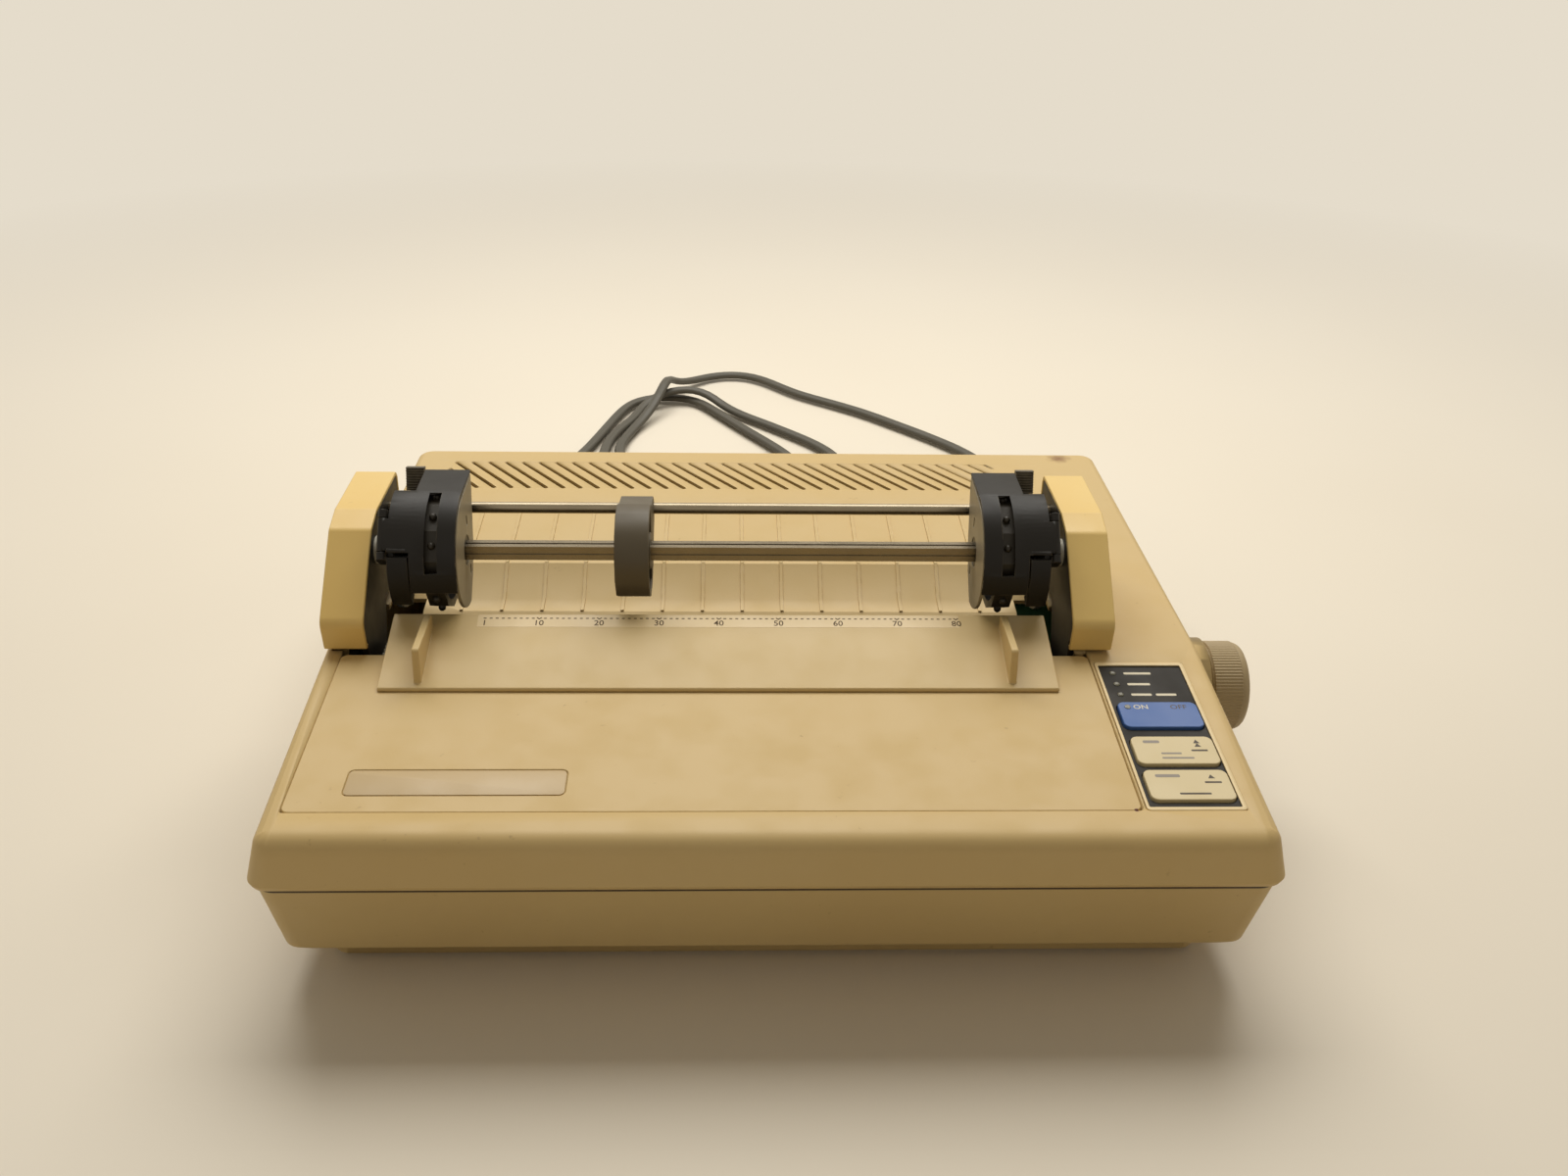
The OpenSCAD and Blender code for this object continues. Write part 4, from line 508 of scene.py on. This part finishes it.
# ---------- Marks on the hood, the panel and the front cover ----------
# Surfaces that carry marks: y and z of their line 0 in mm, and their lean
SLOPE = (-42, 89, radians(3.878))  # the long front slope, from where the deck ends
HOOD = (-37.6, 100, radians(15.894))  # the hood's top, from its rear edge

# Column scale, in mm
COLUMN = 2.54
COLUMNS = 80
SCALE_X = -19.4  # middle of the scale
STRIP = 0.06  # thickness of the strip under the scale
STRIP_Y = (-7.7, -0.5)
STRIP_LEFT, STRIP_RIGHT = 3, 1.2  # how far the strip reaches past the first and the last column
DASH = (1.25, 0.52)  # length and width
DASH_Y = -2.6
CHEVRON = (1.4, 0.5)  # length and width of the two strokes that mark each tenth column
CHEVRON_LEAN = 38  # in degrees
CHEVRON_HALF = 0.48  # from a chevron's tip to the middle of its strokes
NUMBER_Y = -5.4
NUMBER_SIZE = 4.3


def make_column_scale():
    """Smooth strip at the hood's rear edge with 80 printed columns, ten to the inch."""
    half = (COLUMNS - 1) / 2 * COLUMN
    first = SCALE_X - half
    strip = outline(first - STRIP_LEFT, SCALE_X + half + STRIP_RIGHT, *STRIP_Y, radius=0.5)
    finish_piece(lay_on(thicken(strip, STRIP), HOOD), "column_strip", "hood_lid", "strip_pale", smooth=None)
    dashes = [(first + k * COLUMN, DASH_Y) for k in range(COLUMNS) if (k + 1) % 10]
    tens = [first + k * COLUMN for k in range(9, COLUMNS, 10)]
    marks = repeat(stroke(*DASH), dashes)
    for side in (-1, 1):
        leaning = stroke(*CHEVRON, side * CHEVRON_LEAN)
        marks += repeat(leaning, [(x + side * CHEVRON_HALF, DASH_Y) for x in tens])
    marks.append(characters("1", first, NUMBER_Y, NUMBER_SIZE))
    marks += [characters(str(10 * k + 10), x, NUMBER_Y, NUMBER_SIZE) for k, x in enumerate(tens)]
    printed(marks, "column_scale", "hood_lid", "ink_brown", HOOD, STRIP)


# Control panel, in mm: outlines as left, right, front, rear and corner radius
RIM_OUTSIDE = (138.35, 176.05, -109.9, -15.1, 1.6)
RIM_INSIDE = (139.5, 174.5, -108.1, -17.2, 0.7)
RIM_HEIGHT = 0.75
KEY_WORD_SIZE = 3.9
ARROW_RADIUS = 1.5
ARROW_PITCH = 2.2

# Heights over the front slope, in mm
RIM_FOOT = -0.59
ON_OVERLAY = -0.6
ON_KEY = 0.8
LAMP_IN_KEY = 0.79
IN_RECESS = -0.31


def make_panel_rim():
    """Pale bezel that holds the dark overlay in its recess, with a shadow gap round it."""
    outer = outline(*RIM_OUTSIDE)
    inner = outline(*RIM_INSIDE)
    for loop in (outer, inner):
        pick(loop)
        edit("SELECT", "FACE")
        bpy.ops.mesh.delete(type="ONLY_FACE")
        bpy.ops.object.mode_set(mode="OBJECT")
    pick(outer, inner)
    bpy.ops.object.join()
    edit("SELECT", "EDGE")
    bpy.ops.mesh.bridge_edge_loops()
    bpy.ops.mesh.select_all(action="SELECT")
    bpy.ops.mesh.normals_make_consistent(inside=False)
    bpy.ops.object.mode_set(mode="OBJECT")
    rim = lay_on(thicken(bpy.context.object, RIM_HEIGHT, 0.18), SLOPE, RIM_FOOT)
    finish_piece(rim, "panel_rim", "control_panel", "rim_cream")


def arrows(x, y, count):
    """Small arrowheads that point to the rear, one in front of the other."""
    marks = []
    for k in range(count):
        deselect()
        bpy.ops.mesh.primitive_circle_add(vertices=3, radius=ARROW_RADIUS * MM, fill_type="NGON",
                                          location=(x * MM, (y - ARROW_PITCH * k) * MM, 0))
        marks.append(thicken(bpy.context.object, INK))
        place()
    return marks


def bars(places):
    """Plain printed bars, each given by the x and y of its middle, its length and its width, in mm."""
    return [repeat(stroke(length, width), [(x, y)])[0] for x, y, length, width in places]


def make_panel_marks():
    """Plain bars, arrowheads and ON and OFF on the overlay and its three keys."""
    printed(bars([(155.3, -22.2, 11.5, 1.5), (154.2, -29.9, 9.5, 1.5), (153.6, -37.2, 8.5, 1.5),
                  (163.9, -37.2, 8.5, 1.5)]), "lamp_bars", "control_panel", "ink_pale", SLOPE, ON_OVERLAY)
    word = characters("ON", 150.6, -47.6, KEY_WORD_SIZE)
    printed([word], "online_print", "online_key", "ink_pale", SLOPE, ON_KEY)
    word = characters("OFF", 166.0, -47.6, KEY_WORD_SIZE)
    printed([word], "offline_print", "online_key", "ink_dark", SLOPE, ON_KEY)
    lamp = thicken(outline(-1.25, 1.25, -1.25, 1.25, 1.24, 6), 0.3, 0.12)
    lamp.location = (145.2 * MM, -47.5 * MM, 0)
    place()
    printed([lamp], "key_lamp", "online_key", "lamp_lens", SLOPE, LAMP_IN_KEY)
    printed(bars([(149.2, -70.2, 6.5, 1.7), (155.5, -77.4, 8, 1.0), (157.5, -80.2, 12.5, 1.0)]),
            "form_feed_bars", "form_feed_key", "ink_grey", SLOPE, ON_KEY)
    printed(arrows(167.0, -70.4, 2) + bars([(167.0, -75.6, 6.5, 1.0)]),
            "form_feed_arrows", "form_feed_key", "ink_dark", SLOPE, ON_KEY)
    printed(bars([(150.4, -91.0, 9.5, 1.7)]), "line_feed_bars", "line_feed_key", "ink_grey", SLOPE, ON_KEY)
    printed(arrows(167.0, -91.8, 1) + bars([(167.0, -94.8, 6.5, 1.0), (158.5, -101.4, 12, 1.0)]),
            "line_feed_arrows", "line_feed_key", "ink_dark", SLOPE, ON_KEY)


PLATE_OUTLINE = (-158.25, -77.15, -100.2, -86.05, 2.0)
PLATE_HEIGHT = 0.24


def make_bare_plate():
    """The plate set into the front cover, left bare, with a shadow line round it."""
    plate = lay_on(thicken(outline(*PLATE_OUTLINE), PLATE_HEIGHT, 0.1), SLOPE, IN_RECESS)
    finish_piece(plate, "bare_plate", "front_cover", "plate_satin")


make_column_scale()
make_panel_rim()
make_panel_marks()
make_bare_plate()


# ---------- Inner plates of the sprocket units ----------
INNER_PLATES = {"sprocket_frame_left": (-141.2, -139.5), "sprocket_frame_right": (80.3, 82.0)}  # x in mm


def pale_inner_plate(node, left, right):
    """Gives the faces of a sprocket unit's inner side plate their paler plastic."""
    frame_piece = bpy.data.objects[node + "_moulded"]
    frame_piece.data.materials.append(MATERIALS["plate_grey"])
    for face in frame_piece.data.polygons:
        if left * MM < face.center.x < right * MM:
            face.material_index = 1


for node, (left, right) in INNER_PLATES.items():
    pale_inner_plate(node, left, right)


# ---------- Strain relief ----------
SLEEVE_AT = (-150, 166, 36)  # where the sleeve meets the rear wall, in mm from the middle of the case
SLEEVE_INSIDE = 6  # length of the sleeve inside the wall, in mm
RIBS = 8
RIB_PITCH = 3.3
RIB_LENGTH = 1.9
FIRST_RIB = 3.6  # from the wall, in mm
RIB_HALF, RIB_TAPER = 6.4, 0.28  # half width of the first rib, and what each next one loses
GROOVE = 1.1  # depth of the groove after a rib
FLATTENING = 0.025  # share of its height that each next rib loses
FLANGE = [(0.4, 5.8, 5.8), (0.4, 8, 8), (2.9, 8, 8), (2.9, 6.5, 6.5)]  # distance from the wall, half sizes


def sleeve_rings():
    """The sleeve's rings from the wall outwards: each rib is thinner and flatter than the one before."""
    rings = list(FLANGE)
    for k in range(RIBS):
        start = FIRST_RIB + RIB_PITCH * k
        rib = RIB_HALF - RIB_TAPER * k
        core = rib - GROOVE
        flat = 1 - FLATTENING * k
        for along, half in ((0, rib), (RIB_LENGTH, rib - 0.1), (RIB_LENGTH, core), (RIB_PITCH, core - 0.1)):
            rings.append((start + along, half, half * flat))
    return rings


def make_strain_relief():
    """Ribbed rubber sleeve, round in the rear wall, that tapers to the flat cord."""
    deselect()
    last = (-SLEEVE_INSIDE, 5.8, 5.8)
    bpy.ops.mesh.primitive_circle_add(vertices=32, radius=last[1] * MM, fill_type="NGON",
                                      location=(0, 0, last[0] * MM))
    edit("SELECT", "FACE")
    for ring in sleeve_rings():
        bpy.ops.mesh.extrude_region_move(TRANSFORM_OT_translate={"value": (0, 0, (ring[0] - last[0]) * MM)})
        bpy.ops.transform.resize(value=(ring[1] / last[1], ring[2] / last[2], 1))
        last = ring
    bpy.ops.mesh.select_all(action="SELECT")
    bpy.ops.mesh.normals_make_consistent(inside=False)
    bpy.ops.object.mode_set(mode="OBJECT")
    sleeve = bpy.context.object
    sleeve.rotation_euler = (-pi / 2, 0, 0)
    sleeve.location = at(*SLEEVE_AT)
    place()
    apply_modifier("BEVEL", width=0.2 * MM, segments=2, limit_method="ANGLE", angle_limit=radians(40))
    finish_piece(sleeve, "strain_relief", "cord_gland", "rubber", replaced=["cord_gland"])


make_strain_relief()


# ---------- Mains cord ----------
CORD_WIDTH = 7.4  # the cord is flat, with three cores side by side
CORD_FLATNESS = 0.66  # its thickness as a share of its width
CORD_ROUTE = [  # from the strain relief to the plug, in mm from the middle of the case
    (-150, 196, 36), (-150, 214, 34), (-150, 231, 26), (-149, 247, 15), (-147, 265, 6.5),
    (-143, 287, 4), (-137, 310, 4), (-130, 333, 4), (-122, 354, 4), (-115, 375, 4), (-109, 398, 4),
    (-91, 458.5, 4), (-80.5, 469.5, 4), (-66, 474, 4), (-51.5, 472, 4), (-39, 463.5, 4), (-27, 445, 4),
    (-1, 403, 4), (12, 383, 4), (24, 362, 4), (32, 340, 4), (33, 318, 4), (24, 299, 4), (7, 287, 4),
    (-15, 283, 4), (-38, 284, 4), (-61, 289, 4), (-81, 301, 4), (-95, 319, 4), (-103, 341, 4),
    (-104, 364, 4), (-102, 387, 4), (-96, 409, 4), (-88, 427, 4), (-84.5, 441.5, 4), (-80, 455, 5.5),
    (-72, 464, 8.5), (-62.5, 469, 10.5), (-52, 470.5, 12), (-42, 469, 12), (-32, 464.5, 10),
    (-23, 455, 6), (-8, 439, 4), (9, 422, 4), (26, 404, 4), (42, 386, 4), (55, 366, 4), (61, 344, 4),
    (57, 327, 6), (46, 316, 10), (30, 311, 12.5), (13, 311, 10), (-5, 313, 5.5), (-30, 315, 4),
    (-56, 319, 4), (-76, 331, 4), (-89, 349, 4), (-94, 368, 4), (-92, 387, 4), (-86, 409, 4),
    (-78, 428, 7), (-71, 445, 12.5), (-66, 461, 18.5), (-63, 476, 18.5), (-57, 492, 10), (-46, 508, 5),
    (-31, 521, 4), (-14, 525.5, 4), (3, 520, 4), (37, 483, 4), (60, 465, 4), (84, 445, 4),
    (106, 422, 4), (127, 399, 4), (147, 374, 4), (159, 351, 4.5), (163, 328, 8), (162, 308, 10.5),
    (162, 296, 11),
]


def smooth_path(points, steps, spacing, eased):
    """Evenly spaced points along a curve through the given ones, its bends eased as a stiff cord's are."""
    curve = []
    for i in range(len(points) - 1):
        start, end = points[i], points[i + 1]
        before = points[i - 1] if i else 2 * start - end
        after = points[i + 2] if i + 2 < len(points) else 2 * end - start
        pairs = ((before, start), (start, end), (end, after))
        gap_a, gap_b, gap_c = [(q - p).length ** 0.5 for p, q in pairs]
        leave = (end - start) + gap_b * ((start - before) / gap_a - (end - before) / (gap_a + gap_b))
        arrive = (end - start) + gap_b * ((after - end) / gap_c - (after - start) / (gap_b + gap_c))
        for k in range(steps):
            t = k / steps
            curve.append((2 * t**3 - 3 * t**2 + 1) * start + (t**3 - 2 * t**2 + t) * leave
                         + (3 * t**2 - 2 * t**3) * end + (t**3 - t**2) * arrive)
    curve.append(points[-1])
    along = [0.0]
    for p, q in zip(curve, curve[1:]):
        along.append(along[-1] + (q - p).length)
    count = round(along[-1] / spacing)
    path = []
    nearest = 0
    for n in range(count + 1):
        target = along[-1] * n / count
        while nearest < len(curve) - 2 and along[nearest + 1] < target:
            nearest += 1
        part = (target - along[nearest]) / (along[nearest + 1] - along[nearest])
        path.append(curve[nearest].lerp(curve[nearest + 1], min(1, part)))
    for _ in range(eased):
        inner = [p / 2 + (o + q) / 4 for o, p, q in zip(path[1:], path[2:-2], path[3:])]
        path = path[:2] + inner + path[-2:]
    return path


def make_curve(name, points, closed=False):
    """An open or closed line through the points, as a curve object at the origin."""
    bpy.ops.curve.primitive_nurbs_path_add(location=(0, 0, 0))
    line = bpy.context.object
    line.name = name
    data = line.data
    data.splines.clear()
    spline = data.splines.new("POLY")
    spline.points.add(len(points) - 1)
    for target, point in zip(spline.points, points):
        target.co = (*point, 1)
    spline.use_cyclic_u = closed
    data.dimensions = "3D"
    return line


def cord_outline(points=36):
    """The cord's cross-section: three ribs side by side."""
    outline_points = []
    for k in range(points):
        turn = 2 * pi * k / points
        side = cos(turn)
        rib = 1 + 0.07 * cos(3 * pi * side)
        half_width, half_height = 0.5 * CORD_WIDTH * MM, 0.5 * CORD_FLATNESS * CORD_WIDTH * MM
        outline_points.append(Vector((half_width * side, half_height * sin(turn) * rib, 0)))
    return outline_points


def make_cord():
    """Flat three-core mains cord, lying flat on the table."""
    route = smooth_path([at(*point) for point in CORD_ROUTE], steps=12, spacing=0.006, eased=3)
    section = make_curve("cord_section", cord_outline(), closed=True)
    line = make_curve("power_cord_line", route)
    line.data.twist_mode = "Z_UP"
    line.data.bevel_mode = "OBJECT"
    line.data.bevel_object = section
    line.data.use_fill_caps = True
    cord = finish_piece(line, "mains_cord", "power_cord", replaced=["power_cord"])
    pick(section)
    bpy.ops.object.delete()


make_cord()


# ---------- Floor and light ----------
PALE = colour(229, 220, 203)
PALE_PATCH = colour(224, 214, 196)
TABLE_MIDDLE = (0, 0.1, 0)
FADE_FROM, FADE_TO = 0.35, 1.25  # how far from there the table begins to fade and is gone, in metres
ROOM_LIGHT = 0.32


def seen_directly(tree):
    """1 for what the camera, a reflection or a clear part sees, 0 for light that falls on things."""
    path = tree.nodes.new("ShaderNodeLightPath")
    first = tree.nodes.new("ShaderNodeMath")
    second = tree.nodes.new("ShaderNodeMath")
    first.operation = second.operation = "MAXIMUM"
    tree.links.new(path.outputs["Is Camera Ray"], first.inputs[0])
    tree.links.new(path.outputs["Is Glossy Ray"], first.inputs[1])
    tree.links.new(first.outputs[0], second.inputs[0])
    tree.links.new(path.outputs["Is Transmission Ray"], second.inputs[1])
    return second.outputs[0]


def make_stage():
    """Pale table top that fades into an even pale room."""
    bpy.ops.mesh.primitive_plane_add(size=12)
    floor = bpy.context.object
    floor.name = "floor"
    paint = Finish("pale_floor", PALE, 0.6)
    paint.tint(paint.spread(paint.noise(0.4), 0.35, 0.7, 0, 0.6), PALE_PATCH)
    glow = paint.add("ShaderNodeEmission")
    glow.inputs["Color"].default_value = PALE
    fade = paint.math("SUBTRACT", 1.0, paint.near(TABLE_MIDDLE, FADE_FROM, FADE_TO))
    mixed = paint.add("ShaderNodeMixShader")
    paint.link(paint.math("MULTIPLY", fade, seen_directly(paint.tree)), mixed.inputs[0])
    paint.link(paint.shader.outputs[0], mixed.inputs[1])
    paint.link(glow.outputs[0], mixed.inputs[2])
    paint.link(mixed.outputs[0], paint.tree.nodes["Material Output"].inputs["Surface"])
    floor.data.materials.append(paint.material)


def make_room():
    """Even pale surroundings: bright for what looks at them, dim for what they light."""
    world = bpy.context.scene.world or bpy.data.worlds.new("studio")
    bpy.context.scene.world = world
    world.use_nodes = True
    tree = world.node_tree
    room = tree.nodes["Background"]
    room.inputs["Color"].default_value = PALE
    room.inputs["Strength"].default_value = ROOM_LIGHT
    behind = tree.nodes.new("ShaderNodeBackground")
    behind.inputs["Color"].default_value = PALE
    choose = tree.nodes.new("ShaderNodeMixShader")
    tree.links.new(seen_directly(tree), choose.inputs[0])
    tree.links.new(room.outputs[0], choose.inputs[1])
    tree.links.new(behind.outputs[0], choose.inputs[2])
    tree.links.new(choose.outputs[0], tree.nodes["World Output"].inputs["Surface"])


def area_light(name, location, aim, size, power, tone):
    bpy.ops.object.light_add(type="AREA", location=location)
    lamp = bpy.context.object
    lamp.name = name
    lamp.data.shape = "RECTANGLE"
    lamp.data.size, lamp.data.size_y = size
    lamp.data.energy = power
    lamp.data.color = tone
    lamp.rotation_euler = (Vector(aim) - Vector(location)).to_track_quat("-Z", "Y").to_euler()


make_stage()
make_room()
area_light("top_softbox", location=(0.0, 0.66, 1.2), aim=(0, 0.05, 0.0), size=(1.5, 0.9), power=20,
           tone=(1, 0.975, 0.925))
area_light("front_fill", location=(-0.9, -1.6, 1.1), aim=(0, 0, 0.05), size=(1.6, 1.0), power=1.5,
           tone=(1, 0.965, 0.91))
bpy.context.scene.view_settings.view_transform = "Standard"
